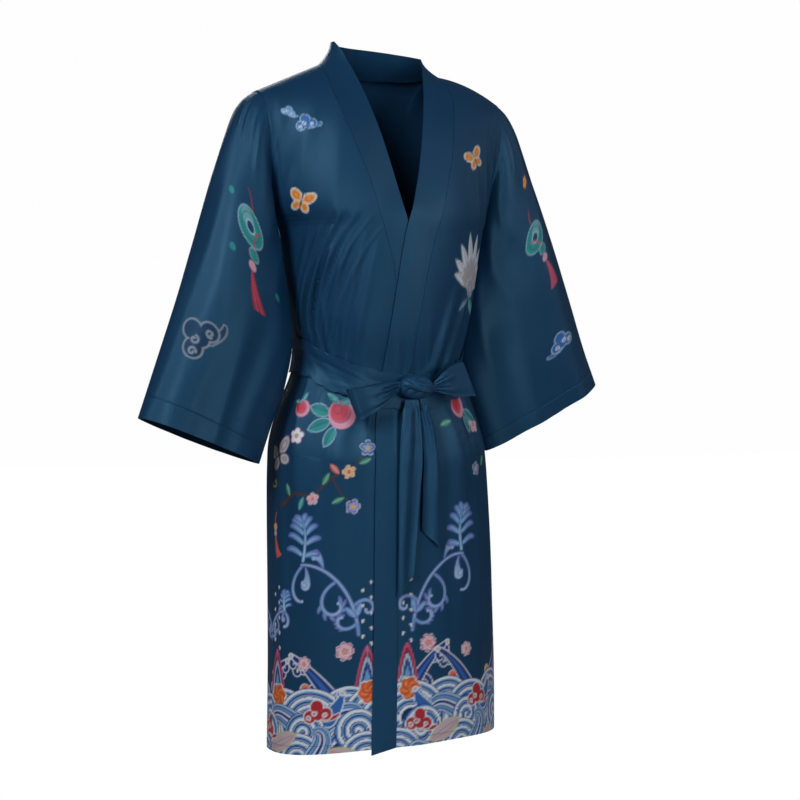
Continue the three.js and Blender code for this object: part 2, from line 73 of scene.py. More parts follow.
# %% Main sizes
SEAM_SIDE = 0.45
HEM, ARMPIT = -995, -230
NECK_HALF, NECK_Z, SHOULDER_HALF = 98, 6, 200
BACK_NECK_DEPTH, BACK_NECK_RISE = 84, 3
OVERLAP_LIFT = 2.8
BELT_TOP, BELT_FOOT, BELT_SAG = -394, -446, 55
HEM_RISE, HEM_RISE_LEFT = 13, 9
FULLNESS, FLATNESS = 0.07, 1.9
CORNER_DROOP = 8
BODY = np.array([
    (HEM, 180, 117, 108, 8), (-900, 179, 116, 108, 8), (-780, 177, 115, 108, 6.5),
    (-660, 174, 115, 112, 3.5), (-560, 170, 116, 115, 1), (-500, 156, 110, 107, 0),
    (BELT_FOOT, 134, 98, 92, 0), (-420, 129, 95, 88, 0), (BELT_TOP, 132, 97, 89, 0),
    (-340, 146, 107, 94, 0), (-282, 157, 115, 100, 0), (ARMPIT, 165, 119, 104, 0),
], float)
SIDE, FRONT, BACK, SHIFT = 1, 2, 3, 4
print("robe from hem to shoulder:", -HEM + NECK_Z, "mm")

# %% [markdown]
# ## Free edges of the fronts
# Each front ends in a band. At a height, the first number is the distance of the band's seam
# from the centre line and the second that of its free edge. Above the armpit the band stands
# off the chest, so there the edge has a depth and a height of its own.

# %% Edges of the two fronts
UNDER_EDGE = np.array([
    (HEM, -20, -60), (-800, -15, -54), (-600, -11, -50), (-500, -5, -44), (-420, 8, -32),
    (-360, 16, -24), (-300, 28, -12), (ARMPIT, 51, 14), (-192, 64, 26), (-153, 81, 39),
    (-115, 94, 51), (-77, 101, 63), (-38, 100, 70), (0, NECK_HALF, 73),
], float)
UNDER_STAND = np.array([
    (ARMPIT, -117, -222), (-192, -105, -165), (-153, -86, -100), (-115, -60, -42),
    (-77, -31, 8), (-38, -13, 33), (0, -1, 43),
], float)
OVER_EDGE = np.array([
    (HEM, -30, -66), (-800, -26, -62), (-600, -22, -60), (-500, -18, -57), (-420, -3, -44),
    (-360, 7, -36), (-300, 20, -25), (ARMPIT, 42, -8), (-192, 56, 11), (-153, 75, 30),
    (-115, 90, 47), (-77, 100, 61), (-38, 100, 70), (0, NECK_HALF, 74),
], float)
OVER_STAND = np.array([
    (ARMPIT, -122, -223), (-192, -108, -165), (-153, -86, -100), (-115, -59, -44),
    (-77, -31, 0), (-38, -13, 22), (0, -1, 31),
], float)
BACK_BAND_HALF, BACK_BAND_DEEP, BACK_BAND_Z, BACK_BAND_HOLLOW = 73, 62, 50, 5
BAND_PULL = 9
print("band is", UNDER_EDGE[0, 1] - UNDER_EDGE[0, 2], "mm wide at the hem")

# %% [markdown]
# ## Folds of the body
# A fold is a soft ridge with a trough on both sides. Each row says on which face it lies, its
# turn in degrees from the centre at the belt and at the far end, the heights it runs between,
# its depth and its width. The fan on the wearer's right chest comes from the tied belt.

# %% Large folds
LARGE_FOLDS = [
    ("front", -82, -56, BELT_TOP, -225, 3.5, 3.2), ("front", -73, -46, BELT_TOP, -210, 4.5, 3.2),
    ("front", -64, -37, BELT_TOP, -205, 5, 3.1), ("front", -55, -29, BELT_TOP, -212, 4.6, 3),
    ("front", -46, -22, BELT_TOP, -222, 4, 3), ("front", -37, -16, BELT_TOP, -240, 3, 3),
    ("front", 17, 31, BELT_TOP, -300, 5, 4), ("front", 30, 45, BELT_TOP, -290, 3.5, 4),
    ("front", 48, 60, BELT_TOP, -270, 3, 4.5), ("front", 68, 74, BELT_TOP, -260, 3, 4.5),
    ("front", -70, -62, BELT_FOOT, -760, 5, 7), ("front", -40, -38, BELT_FOOT, -840, 4, 7),
    ("front", 28, 24, BELT_FOOT, -900, 4.5, 7), ("front", 56, 52, BELT_FOOT, -940, 5, 7),
    ("back", -62, -50, BELT_TOP, -240, 4, 4.5), ("back", -38, -28, BELT_TOP, -225, 5, 4.5),
    ("back", -14, -9, BELT_TOP, -235, 4, 4.5), ("back", 10, 6, BELT_TOP, -220, 4.5, 4.5),
    ("back", 33, 24, BELT_TOP, -230, 4, 4.5), ("back", 58, 46, BELT_TOP, -245, 5, 4.5),
    ("back", -58, -60, BELT_FOOT, -900, 5, 7), ("back", -24, -28, BELT_FOOT, -960, 6, 7),
    ("back", 14, 18, BELT_FOOT, -930, 5, 7), ("back", 50, 54, BELT_FOOT, -900, 6, 7),
]
print("large folds:", len(LARGE_FOLDS))

# %% [markdown]
# ## Small folds
# Real cloth never lies quite smooth. These creases are weaker and uneven: long soft ones down
# the skirt, slanted ones from the armholes over the chest, and short gathers where the belt
# pulls the cloth in. The first nine are the sharp ridges and troughs of the fan on the right
# chest, and their eighth number bends them. The gathers at the belt are drawn by a seeded
# generator, so each run gives the same.

# %% Small folds
SMALL_FOLDS = [
    ("front", -84, -52, -388, -218, 3.4, 1.7, 1.3), ("front", -78, -43, -380, -214, 4.6, 1.6, 1.35),
    ("front", -71, -35, -386, -212, 5, 1.5, 1.4), ("front", -64, -27, -378, -214, 4.6, 1.5, 1.45),
    ("front", -57, -20, -384, -220, 3.6, 1.5, 1.4), ("front", -49, -14, -372, -232, 2.4, 1.6, 1.3),
    ("front", -75, -39, -388, -214, -3, 1.6, 1.37), ("front", -68, -31, -384, -212, -3.4, 1.5, 1.42),
    ("front", -61, -24, -380, -216, -2.8, 1.5, 1.42),
    ("front", -66, -34, -214, -60, 2.2, 6), ("front", -78, -58, -212, -34, 1.8, 5),
    ("front", -44, -26, -236, -96, 1.5, 5), ("front", 80, 52, -214, -40, 2.4, 6),
    ("front", 66, 40, -226, -70, 1.8, 5), ("front", 50, 34, -240, -110, 1.2, 4),
    ("front", -54, -50, -560, -985, 3.6, 8), ("front", -26, -24, -470, -960, 2.6, 5),
    ("front", 12, 11, -480, -980, 2.6, 5), ("front", 41, 38, -520, -992, 3.6, 7),
    ("front", 74, 70, -500, -985, 3.6, 6), ("front", -80, -76, -540, -990, 3, 6),
    ("back", -72, -44, -222, -60, 2.4, 6), ("back", 70, 42, -222, -66, 2.4, 6),
    ("back", -30, -20, -236, -110, 1.6, 6), ("back", 34, 22, -236, -120, 1.6, 6),
    ("back", -76, -74, -520, -985, 2.4, 7), ("back", -42, -42, -480, -992, 2.2, 6),
    ("back", -6, -5, -470, -975, 2.4, 6), ("back", 32, 35, -500, -990, 2, 6),
    ("back", 72, 74, -520, -980, 2.2, 7),
]
luck = np.random.default_rng(11)
for face_name, first_turn, last_turn, count in [("front", -84, 84, 15), ("back", -82, 82, 20)]:
    for place in np.linspace(first_turn, last_turn, count):
        at_turn = place + luck.uniform(-3, 3)
        below = BELT_FOOT - luck.uniform(45, 150)
        above = BELT_TOP + luck.uniform(35, 120)
        SMALL_FOLDS.append((face_name, at_turn, at_turn + luck.uniform(-3, 3), BELT_FOOT,
                            below, luck.uniform(1.2, 2.6), luck.uniform(2, 3.4)))
        SMALL_FOLDS.append((face_name, at_turn + 4, at_turn + luck.uniform(0, 7), BELT_TOP,
                            above, luck.uniform(0.8, 2), luck.uniform(1.8, 3)))
print("small folds:", len(SMALL_FOLDS))

# %% [markdown]
# ## Reading a table smoothly
# A curve through the rows of a table must not overshoot, or a hem would bulge. Each row's slope
# is the harmonic mean of the slopes on both sides, which keeps the curve inside its points.

# %% Reading tables
def smoothstep(x, low, high):
    """0 below low, 1 above high, and a soft step between them"""
    t = np.clip((np.asarray(x, float) - low) / (high - low), 0, 1)
    return t * t * (3 - 2 * t)


def lerp(a, b, t):
    return a + (b - a) * t


def read(table, column, at):
    """One column of a table between its rows, along a smooth curve"""
    rows = table if table[0, 0] < table[-1, 0] else table[::-1]
    keys, values = rows[:, 0], rows[:, column]
    x = np.clip(at, keys[0], keys[-1])
    i = np.clip(np.searchsorted(keys, x, side="right") - 1, 0, len(keys) - 2)
    span = np.diff(keys)
    slope = np.diff(values) / span
    before = np.concatenate([slope[:1], slope[:-1]])
    after = np.concatenate([slope[1:], slope[-1:]])

    def tangent(p, q):
        alike = p * q > 0
        return np.where(alike, 2 * p * q / np.where(alike, p + q, 1), 0)

    start, end = tangent(before, slope)[i] * span[i], tangent(slope, after)[i] * span[i]
    t = (x - keys[i]) / span[i]
    return (
        (2 * t ** 3 - 3 * t ** 2 + 1) * values[i] + (t ** 3 - 2 * t ** 2 + t) * start
        + (3 * t ** 2 - 2 * t ** 3) * values[i + 1] + (t ** 3 - t ** 2) * end
    )


print("half width at the belt:", float(read(BODY, SIDE, -420)), "mm")

# %% [markdown]
# ## Surface of the body
# All pieces round the body lie on one surface, so that a band, a belt end and the cloth under
# them never cut into each other. A point of it is named by its face, its turn in degrees from
# the centre line and its height. Above the armpit, the height stands for the way up to the
# shoulder seam.

# %% Bare surface
def outward(turn):
    return np.sin(turn) * (1 + FULLNESS * np.cos(turn) ** 2)


def forward(turn):
    return np.cos(turn) * (1 + FULLNESS * np.sin(turn) ** 2)


def sag(turn, level, face):
    """Height added to a level: the belt sags in front and the hem rises a little there"""
    ahead = np.maximum(0, np.cos(turn)) if face == "front" else 0
    near_belt = smoothstep(level, -640, BELT_FOOT) * (1 - smoothstep(level, BELT_TOP, -250))
    near_hem = 1 - smoothstep(level, HEM, -700)
    rise = HEM_RISE * ahead ** 2 + HEM_RISE_LEFT * np.maximum(0, np.sin(turn))
    return rise * near_hem - BELT_SAG * near_belt * ahead ** 1.5


FRONT_RISE, BACK_RISE = 1.22, 0.87
ARMHOLE_FORE, ARMHOLE_AFT = 45, 42
ARMHOLE_BOW = {"right": 0.55, "left": 1.2}
RIDGE_BOW = {"right": 0, "left": 7}
SHOULDER_Z = {"right": -42, "left": -27}
ROUNDED = 22


def sharp_body(face, turn_degrees, level):
    """Points of the body's surface, with an edge where chest and shoulder meet"""
    turn, level = np.broadcast_arrays(np.radians(turn_degrees), np.asarray(level, float))
    side = np.where(turn < 0, -1.0, 1.0)
    sign = -1 if face == "front" else 1
    low = np.minimum(level, ARMPIT)
    half, shift = read(BODY, SIDE, low), read(BODY, SHIFT, low)
    depth = read(BODY, FRONT if face == "front" else BACK, low)
    skirt = np.stack([
        half * outward(turn) + shift,
        sign * (depth * forward(turn) + SEAM_SIDE),
        level + sag(turn, level, face),
    ], -1)
    climb = np.radians(90 * np.clip(1 - level / ARMPIT, 0, 1))
    power = FRONT_RISE if face == "front" else BACK_RISE
    up, ahead = np.sin(climb) ** power, np.maximum(np.cos(climb), 0) ** power
    s = np.abs(outward(turn))

    def of_side(pair):
        return np.where(side > 0, pair["left"], pair["right"])

    armhole = lerp(half, SHOULDER_HALF, np.sin(climb) ** of_side(ARMHOLE_BOW))
    armhole_y = (ARMHOLE_FORE if face == "front" else ARMHOLE_AFT) * np.sin(2 * climb)
    round_off = lerp(np.abs(forward(turn)), 1 - s ** 3, smoothstep(climb, 0, np.radians(40)))
    top_x = s * SHOULDER_HALF
    in_neck = np.clip(1 - (top_x / NECK_HALF) ** 2, 0, 1)
    nape = lerp(1 - smoothstep(s, 0.1, 0.85), np.sqrt(in_neck), up ** 8)
    top_y = BACK_NECK_DEPTH * nape if face == "back" else 0
    along = (top_x - NECK_HALF) / (SHOULDER_HALF - NECK_HALF)
    bow = 4 * of_side(RIDGE_BOW) * np.maximum(0, along * (1 - along))
    ridge = lerp(NECK_Z, of_side(SHOULDER_Z), along) + bow
    inside = (top_x < NECK_HALF) & (face == "back")
    top_z = np.where(inside, NECK_Z + BACK_NECK_RISE * in_neck, ridge)
    chest = lerp(armhole_y, depth * ahead + top_y * (1 - ahead), round_off)
    bust = np.stack([
        side * s * armhole, sign * (chest + SEAM_SIDE), lerp(ARMPIT, top_z, up),
    ], -1)
    return np.where((level <= ARMPIT)[..., None], skirt, bust)


def bare_body(face, turn, level):
    """The same surface with that edge rounded, as cloth rounds it"""
    turn, level = np.broadcast_arrays(np.asarray(turn, float), np.asarray(level, float))
    reach = np.clip(1 - np.abs(level - ARMPIT) / ROUNDED, 0, 1) * ROUNDED / 2
    points = sharp_body(face, turn, level)
    if reach.max() == 0:
        return points
    ends = sharp_body(face, turn, level - reach) + sharp_body(face, turn, level + reach)
    return points / 2 + ends / 4


print("front at the belt:", np.round(bare_body("front", 0, -420), 1))

# %% [markdown]
# ## Surface with its folds
# The folds are added along a direction that points away from the middle of the body. Slow, low
# waves go on top, because satin shows the slightest change of slope in its sheen. A lift then
# raises a piece that lies over another.

# %% Folded surface
WAVES = [(3.1, 0.012, 0.4, 0.7), (5.3, -0.019, 1.9, 0.5), (8.7, 0.027, 3.3, 0.35)]


def fold_height(face, turn, level):
    height = np.zeros(np.broadcast(turn, level).shape)
    for name, start, end, first, last, depth, width, *bend in LARGE_FOLDS + SMALL_FOLDS:
        if name != face:
            continue
        along = np.clip((level - first) / (last - first), 0, 1)
        off = ((turn - lerp(start, end, along ** (bend[0] if bend else 1))) / width) ** 2
        fade = np.abs(np.sin(np.pi * np.sqrt(along))) ** 0.8
        height = height + depth * fade * (np.exp(-off) - 0.45 * np.exp(-off / 5))
    near_belt = smoothstep(level, -500, BELT_FOOT) * (1 - smoothstep(level, BELT_TOP, -350))
    near_top = smoothstep(level, -60, 0)
    calm = (1 - near_belt) * (1 - near_top) * np.cos(np.radians(turn)) ** 0.5
    for across, along_z, phase, size in WAVES:
        height = height + calm * size * np.sin(across * np.radians(turn) + along_z * level + phase)
    return height


def folded_body(face, turn, level):
    points = bare_body(face, turn, level)
    flat = points * np.array([1 / FLATNESS, 1, 0])
    flat /= np.linalg.norm(flat, axis=-1, keepdims=True)
    return points + flat * fold_height(face, turn, level)[..., None]


def unit(vectors):
    return vectors / np.maximum(np.linalg.norm(vectors, axis=-1, keepdims=True), 1e-12)


def body(face, turn, level, lift=0):
    """Surface of the body with its folds, raised by a lift along its normal"""
    turn, level = np.broadcast_arrays(np.asarray(turn, float), np.asarray(level, float))
    points = folded_body(face, turn, level)
    if np.ndim(lift) == 0 and lift == 0:
        return points
    gap = 0.4
    across = (folded_body(face, np.minimum(turn + gap, 90), level)
              - folded_body(face, np.maximum(turn - gap, -90), level))
    upward = (folded_body(face, turn, np.minimum(level + gap, 0))
              - folded_body(face, turn, np.maximum(level - gap, HEM)))
    normal = unit(np.cross(across, upward)) * (1 if face == "front" else -1)
    return points + normal * np.asarray(lift)[..., None]


def turn_at(face, x, level):
    """Turn in degrees at which a face of the body is a given distance from the centre line"""
    x, level = np.broadcast_arrays(np.asarray(x, float), np.asarray(level, float))
    low, high = np.full(x.shape, -90.0), np.full(x.shape, 90.0)
    for _ in range(24):
        middle = (low + high) / 2
        short = bare_body(face, middle, level)[..., 0] < x
        low, high = np.where(short, middle, low), np.where(short, high, middle)
    return (low + high) / 2


def overlap(turn, level):
    """How far the upper front stands off: fully in front, not at all at sides and shoulders"""
    sideways = 1 - smoothstep(np.abs(turn), 30, 60)
    return OVERLAP_LIFT * sideways * (1 - smoothstep(level, -222, -130))


print("front at the chest:", np.round(body("front", 0, -300, 1), 1))

# %% [markdown]
# ## From a grid of points to a sheet of cloth
# A flat plane has no thickness and looks wrong at its edges. So each sheet is a closed shell:
# fine faces outside, fewer faces inside, and a narrow rim that joins them. A second map in
# metres goes with it, on which the weave is laid, and a map from 0 to 1 with no overlaps.

# %% Faces of a shell
def grid_faces(first, rows, columns, ring, place, reverse):
    """Quads of a grid whose vertices are numbered from first, and their corners on the map"""
    last = columns if ring else columns - 1
    i, j = [n.ravel()[:, None] for n in np.meshgrid(range(rows - 1), range(last), indexing="ij")]
    up, right = i + np.array([0, 0, 1, 1]), j + np.array([0, 1, 1, 0])
    corners = first + up * columns + right % columns
    left, low, wide, high = place
    on_map = np.stack([left + wide * right / last, low + high * up / (rows - 1)], -1)
    return (corners[:, ::-1], on_map[:, ::-1]) if reverse else (corners, on_map)


def rim_faces(outer, inner, low, reverse):
    """Faces that join the fine outer vertices of one edge to the coarser inner ones"""
    step = (len(outer) - 1) // (len(inner) - 1)
    m = np.arange(len(inner) - 1)[:, None]
    fine = m * step + np.arange(step, -1, -1)
    corners = np.concatenate([outer[fine], inner[m], inner[m + 1]], 1)
    across = np.concatenate([fine / (len(outer) - 1), m / len(m), (m + 1) / len(m)], 1)
    up = np.concatenate([np.full(fine.shape, low), np.full((len(m), 2), low + 0.004)], 1)
    on_map = np.stack([0.01 + 0.98 * across, up], -1)
    return (corners[:, ::-1], on_map[:, ::-1]) if reverse else (corners, on_map)


def grid_normals(points, ring, flip):
    """Outward directions of a grid, from each point's neighbours"""
    if ring:
        right, left = np.roll(points, -1, 1), np.roll(points, 1, 1)
    else:
        right = np.concatenate([points[:, 1:], points[:, -1:]], 1)
        left = np.concatenate([points[:, :1], points[:, :-1]], 1)
    above = np.concatenate([points[1:], points[-1:]])
    below = np.concatenate([points[:1], points[:-1]])
    return unit(np.cross(right - left, above - below)) * (-1 if flip else 1)


def cloth_area(points, ring=False):
    """Area of a grid in square metres"""
    if ring:
        points = np.concatenate([points, points[:, :1]], 1)
    one, two = points[1:, 1:] - points[:-1, :-1], points[1:, :-1] - points[:-1, 1:]
    return float(np.linalg.norm(np.cross(one, two), axis=-1).sum() / 2 * MM * MM)


OUTER_PLACE, INNER_PLACE = (0.01, 0.01, 0.98, 0.79), (0.01, 0.82, 0.98, 0.14)
RIM_PLACES = (0.970, 0.976, 0.982, 0.988)
print("map: outside", OUTER_PLACE, "inside", INNER_PLACE)

# %% [markdown]
# ## Making the mesh
# The numbers go straight into Blender's mesh in large blocks, which is far quicker than adding
# vertices one by one. The outside and the inside get different materials, because the wrong
# side of satin is dull.

# %% Mesh of a sheet
STEP = 3


def make_mesh(name, vertices, faces, sides, colours, size):
    mesh = bpy.data.meshes.new(name)
    mesh.vertices.add(len(vertices))
    mesh.vertices.foreach_set("co", (vertices * MM).astype(np.float32).ravel())
    loops = np.concatenate([corners.ravel() for corners, _ in faces]).astype(np.int32)
    counts = np.concatenate([np.full(len(c), c.shape[1]) for c, _ in faces])
    mesh.loops.add(len(loops))
    mesh.loops.foreach_set("vertex_index", loops)
    mesh.polygons.add(len(counts))
    starts = np.concatenate([[0], np.cumsum(counts)[:-1]]).astype(np.int32)
    mesh.polygons.foreach_set("loop_start", starts)
    slots = np.concatenate([np.full(len(c), side) for (c, _), side in zip(faces, sides)])
    mesh.polygons.foreach_set("material_index", slots.astype(np.int32))
    mesh.update(calc_edges=True)
    on_map = np.concatenate([places.reshape(-1, 2) for _, places in faces])
    mesh.uv_layers.new(name="OFBake").data.foreach_set("uv", on_map.astype(np.float32).ravel())
    metres = on_map * np.array(size) / OUTER_PLACE[2:]
    mesh.uv_layers.new(name="Cloth").data.foreach_set("uv", metres.astype(np.float32).ravel())
    inks = mesh.attributes.new("print", "FLOAT_COLOR", "POINT")
    inks.data.foreach_set("color", colours.astype(np.float32).ravel())
    mesh.polygons.foreach_set("use_smooth", np.ones(len(counts), bool))
    mesh.set_sharp_from_angle(angle=np.radians(55))
    mesh.validate(clean_customdata=False)
    thing = bpy.data.objects.new(name, mesh)
    bpy.context.scene.collection.objects.link(thing)
    return thing


def with_alpha(colours):
    return np.concatenate([colours, np.ones((len(colours), 1))], 1)


def sheet_object(name, node, points, thick, size, ring=False, flip=False, inks=None):
    """A closed shell of cloth that stands for a node of the solid model"""
    rows, columns = points.shape[:2]
    coarse_rows, coarse_columns = np.arange(0, rows, STEP), np.arange(0, columns, STEP)
    behind = points - grid_normals(points, ring, flip) * thick
    inner = behind[np.ix_(coarse_rows, coarse_columns)]
    outer_ids = np.arange(rows * columns).reshape(rows, columns)
    inner_ids = outer_ids.size + np.arange(inner[..., 0].size).reshape(inner.shape[:2])
    if inks is None:
        inks = np.tile(PLAIN_INK, (outer_ids.size, 1))
    inside = np.tile(PLAIN_INK, (inner_ids.size, 1))
    closed_outer, closed_inner = outer_ids, inner_ids
    if ring:
        closed_outer = np.concatenate([outer_ids, outer_ids[:, :1]], 1)
        closed_inner = np.concatenate([inner_ids, inner_ids[:, :1]], 1)
    faces = [
        grid_faces(0, rows, columns, ring, OUTER_PLACE, flip),
        grid_faces(outer_ids.size, *inner_ids.shape, ring, INNER_PLACE, not flip),
        rim_faces(closed_outer[0], closed_inner[0], RIM_PLACES[0], flip),
        rim_faces(closed_outer[-1], closed_inner[-1], RIM_PLACES[1], not flip),
    ]
    if not ring:
        faces.append(rim_faces(outer_ids[:, 0], inner_ids[:, 0], RIM_PLACES[2], not flip))
        faces.append(rim_faces(outer_ids[:, -1], inner_ids[:, -1], RIM_PLACES[3], flip))
    vertices = np.concatenate([points.reshape(-1, 3), inner.reshape(-1, 3)])
    colours = with_alpha(np.concatenate([inks, inside]))
    thing = make_mesh(name, vertices, faces, [0, 1] + [0] * 4, colours, size)
    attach(thing, "root")
    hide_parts(node)
    triangles = sum(len(c) * (c.shape[1] - 2) for c, _ in faces)
    area = cloth_area(points, ring)
    print(f"{name}: {triangles} triangles, {area:.4f} m2 of cloth")
    return thing


print("inside faces are", STEP, "times as long as outside ones")

# %% [markdown]
# ## Inks
# The printed colours of the robe: a deep blue ground, blues and whites for the waves, and small
# touches of red, orange, pink and green. Colours are written as they look on a screen and
# turned into linear light, which is what a renderer counts in.

# %% Inks
def linear(text):
    value = np.array([int(text[i:i + 2], 16) for i in (1, 3, 5)]) / 255
    return np.where(value < 0.04045, value / 12.92, ((value + 0.055) / 1.055) ** 2.4)


INK = {name: linear(text) for name, text in {
    "ground": "#12395c", "white": "#dfe5ee", "pale": "#a9c8e4", "light": "#6f9fd0",
    "blue": "#3565b0", "indigo": "#26307e", "navy": "#0f1f4a", "violet": "#6a62b4",
    "red": "#b3232b", "crimson": "#8c1a3a", "orange": "#e0662a", "amber": "#efa545",
    "pink": "#e394ac", "rose": "#c9506e", "green": "#3f8a4f", "teal": "#2e8f8c",
    "yellow": "#d8c04a", "scarlet": "#d8323f", "brown": "#4a3328", "grey": "#8d95a3",
    "dust": "#c3b6bd", "smoke": "#2c4467",
}.items()}
PLAIN_INK = INK["ground"]
print("inks:", len(INK))

# %% [markdown]
# ## Printing on cloth
# A printed picture could be an image, but here every motif is a formula: the distance from a
# point of the cloth to the motif's outline decides whether the ink covers it. Later motifs are
# laid over earlier ones, as a painter works. Only points near a motif are looked at, which
# keeps it quick.

# %% The printed cloth
SOFT = 1.5


class Cloth:
    """Ink on one piece: every point has a place across and up, in mm, and a colour"""

    def __init__(self, across, up):
        self.x, self.y = np.ravel(across), np.ravel(up)
        self.ink = np.tile(PLAIN_INK, (self.x.size, 1))

    def near(self, x, y, reach, turn=0, mirror=1):
        """Points near a motif's centre, and their places in the motif's own directions"""
        ids = np.nonzero((abs(self.x - x) < reach) & (abs(self.y - y) < reach))[0]
        dx, dy = self.x[ids] - x, self.y[ids] - y
        c, s = np.cos(np.radians(turn)), np.sin(np.radians(turn))
        return ids, (c * dx + s * dy) * mirror, c * dy - s * dx

    def lay(self, ids, distance, ink, strength=1):
        """Covers the points whose distance is below zero, with a soft edge"""
        cover = (np.clip(0.5 - distance / SOFT, 0, 1) * strength)[:, None]
        colour = INK[ink] if isinstance(ink, str) else ink
        self.ink[ids] = self.ink[ids] * (1 - cover) + colour * cover


def polar(x, y):
    return np.hypot(x, y), np.arctan2(y, x)


def line(cloth, path, width, ink, edge=None, rim=1.5):
    """A tapering line through the points of a path, with an outline if edge is given.
    Two inks make a line that changes from one to the other"""
    path = np.asarray(path, float)
    width = np.linspace(*width, len(path)) if np.size(width) == 2 else np.asarray(width, float)
    centre = (path.max(0) + path.min(0)) / 2
    reach = np.ptp(path, axis=0).max() / 2 + width.max() + rim + 3
    ids, x, y = cloth.near(*centre, reach)
    if not len(ids):
        return
    nearest, along = np.full(len(ids), 1e9), np.zeros(len(ids))
    local = path - centre
    for k in range(len(path) - 1):
        run = local[k + 1] - local[k]
        part = ((x - local[k, 0]) * run[0] + (y - local[k, 1]) * run[1]) / max(run @ run, 1e-9)
        part = np.clip(part, 0, 1)
        away = np.hypot(x - local[k, 0] - part * run[0], y - local[k, 1] - part * run[1])
        away = away - lerp(width[k], width[k + 1], part)
        along = np.where(away < nearest, (k + part) / (len(path) - 1), along)
        nearest = np.minimum(nearest, away)
    if edge:
        cloth.lay(ids, nearest - rim, edge)
    if not isinstance(ink, str):
        ink = lerp(INK[ink[0]], INK[ink[1]], along[:, None])
    cloth.lay(ids, nearest, ink)


def curl(x, y, size, turn, bend, power=1.6, count=20):
    """Path of a tendril or wave crest: it starts straight and turns ever tighter"""
    t = np.linspace(0, 1, count)
    heading = np.radians(turn) + np.radians(bend) * t ** power
    steps = (1.25 - t) * size / count
    return np.stack([x + np.cumsum(np.cos(heading) * steps),
                     y + np.cumsum(np.sin(heading) * steps)], -1)


print("soft edge of the ink:", SOFT, "mm")

# %% [markdown]
# ## Flowers, leaves, fruit and butterflies
# Small motifs of the kind found on many robes. A flower's outline swings in and out with the
# angle, a leaf is where two circles overlap, and a fruit is a stack of discs, each smaller and
# redder than the one under it and moved a little towards the light.

# %% Small motifs
def leaf(cloth, x, y, length, width, turn, ink, vein="pale", edge=None):
    ids, u, v = cloth.near(x, y, length, turn)
    half = length / 2
    radius = (half * half + width * width / 4) / width
    away = np.hypot(u - half, np.abs(v) + radius - width / 2) - radius
    if edge:
        cloth.lay(ids, away - 1.1, edge)
    cloth.lay(ids, away, ink)
    cloth.lay(ids, np.maximum(np.maximum(away + 1.2, v), -u), vein, 0.28)
    cloth.lay(ids, np.maximum(np.abs(v) - 0.45, np.abs(u - half) - half * 0.8), vein, 0.8)


def blossom(cloth, x, y, size, turn, ink, heart, edge="white", petals=5):
    ids, u, v = cloth.near(x, y, size * 1.4, turn)
    away, angle = polar(u, v)
    outline = size * (0.62 + 0.38 * np.abs(np.cos(petals * angle / 2)) ** 0.7)
    cloth.lay(ids, away - outline, edge)
    cloth.lay(ids, away - outline + max(1, size * 0.09), ink)
    cloth.lay(ids, away - outline * 0.62, "white", 0.3)
    cloth.lay(ids, np.maximum(np.abs(np.sin(petals * angle / 2)) * away - 0.5, away - size * 0.7),
              edge, 0.5)
    cloth.lay(ids, away - size * 0.26, heart)
    cloth.lay(ids, away - size * 0.1, "yellow")


def peony(cloth, x, y, size, turn, outer="rose", inner="pink"):
    """A full flower: three rounds of petals, each smaller and lighter"""
    for part, ink, petals in [(1, outer, 7), (0.74, inner, 6), (0.48, outer, 5)]:
        ids, u, v = cloth.near(x, y, size * 1.3, turn + 40 * part)
        away, angle = polar(u, v)
        outline = size * part * (0.78 + 0.22 * np.abs(np.cos(petals * angle / 2)))
        cloth.lay(ids, away - outline, "white")
        cloth.lay(ids, away - outline + 1.1, ink)
        cloth.lay(ids, away - outline * 0.8, "white", 0.22)
    cloth.lay(ids, away - size * 0.14, "amber")


def fruit(cloth, x, y, size, turn):
    ids, u, v = cloth.near(x, y, size * 1.4, turn)
    away, angle = polar(u, v)
    outline = size * (1 - 0.12 * np.exp(-((angle - np.pi / 2) / 0.35) ** 2))
    cloth.lay(ids, away - outline, "pink")
    cloth.lay(ids, np.hypot(u + size * 0.06, v - size * 0.1) - size * 0.84, "dust", 0.6)
    cloth.lay(ids, np.hypot(u + size * 0.1, v - size * 0.14) - size * 0.78, "rose")
    cloth.lay(ids, np.hypot(u + size * 0.2, v - size * 0.22) - size * 0.64, "scarlet")
    cloth.lay(ids, np.abs(np.hypot(u + size * 0.3, v - size * 0.3) - size * 0.3) - 0.8,
              "crimson", 0.7)
    for side in (-1, 1):
        leaf(cloth, x, y + size * 0.7, size * 1.3, size * 0.5, turn + 90 + 62 * side, "teal")


UPPER_WING, LOWER_WING = (0.52, 0.34, 0.62, 0.4, 32), (0.36, -0.36, 0.46, 0.32, -40)


def butterfly(cloth, x, y, size, turn, wing, spot, edge="navy"):
    for side in (-1, 1):
        for across, up, long, wide, lean in (UPPER_WING, LOWER_WING):
            c, s = np.cos(np.radians(turn)), np.sin(np.radians(turn))
            at_x, at_y = side * across * size, up * size
            ids, u, v = cloth.near(x + c * at_x - s * at_y, y + s * at_x + c * at_y, size,
                                   turn + side * lean)
            away = (np.hypot(u / long, v / wide) / size - 1) * wide * size
            cloth.lay(ids, away, edge)
            cloth.lay(ids, away + size * 0.07, wing)
            cloth.lay(ids, away + size * 0.2, spot)
            cloth.lay(ids, away + size * 0.28, wing)
    ids, u, v = cloth.near(x, y, size, turn)
    cloth.lay(ids, (np.hypot(u / 0.09, v / 0.55) / size - 1) * 0.09 * size, "brown")
    for side in (-1, 1):
        line(cloth, curl(x, y, size * 0.8, turn + 90 - 22 * side, 50 * side), (0.5, 0.4), edge)


print("small motifs ready")

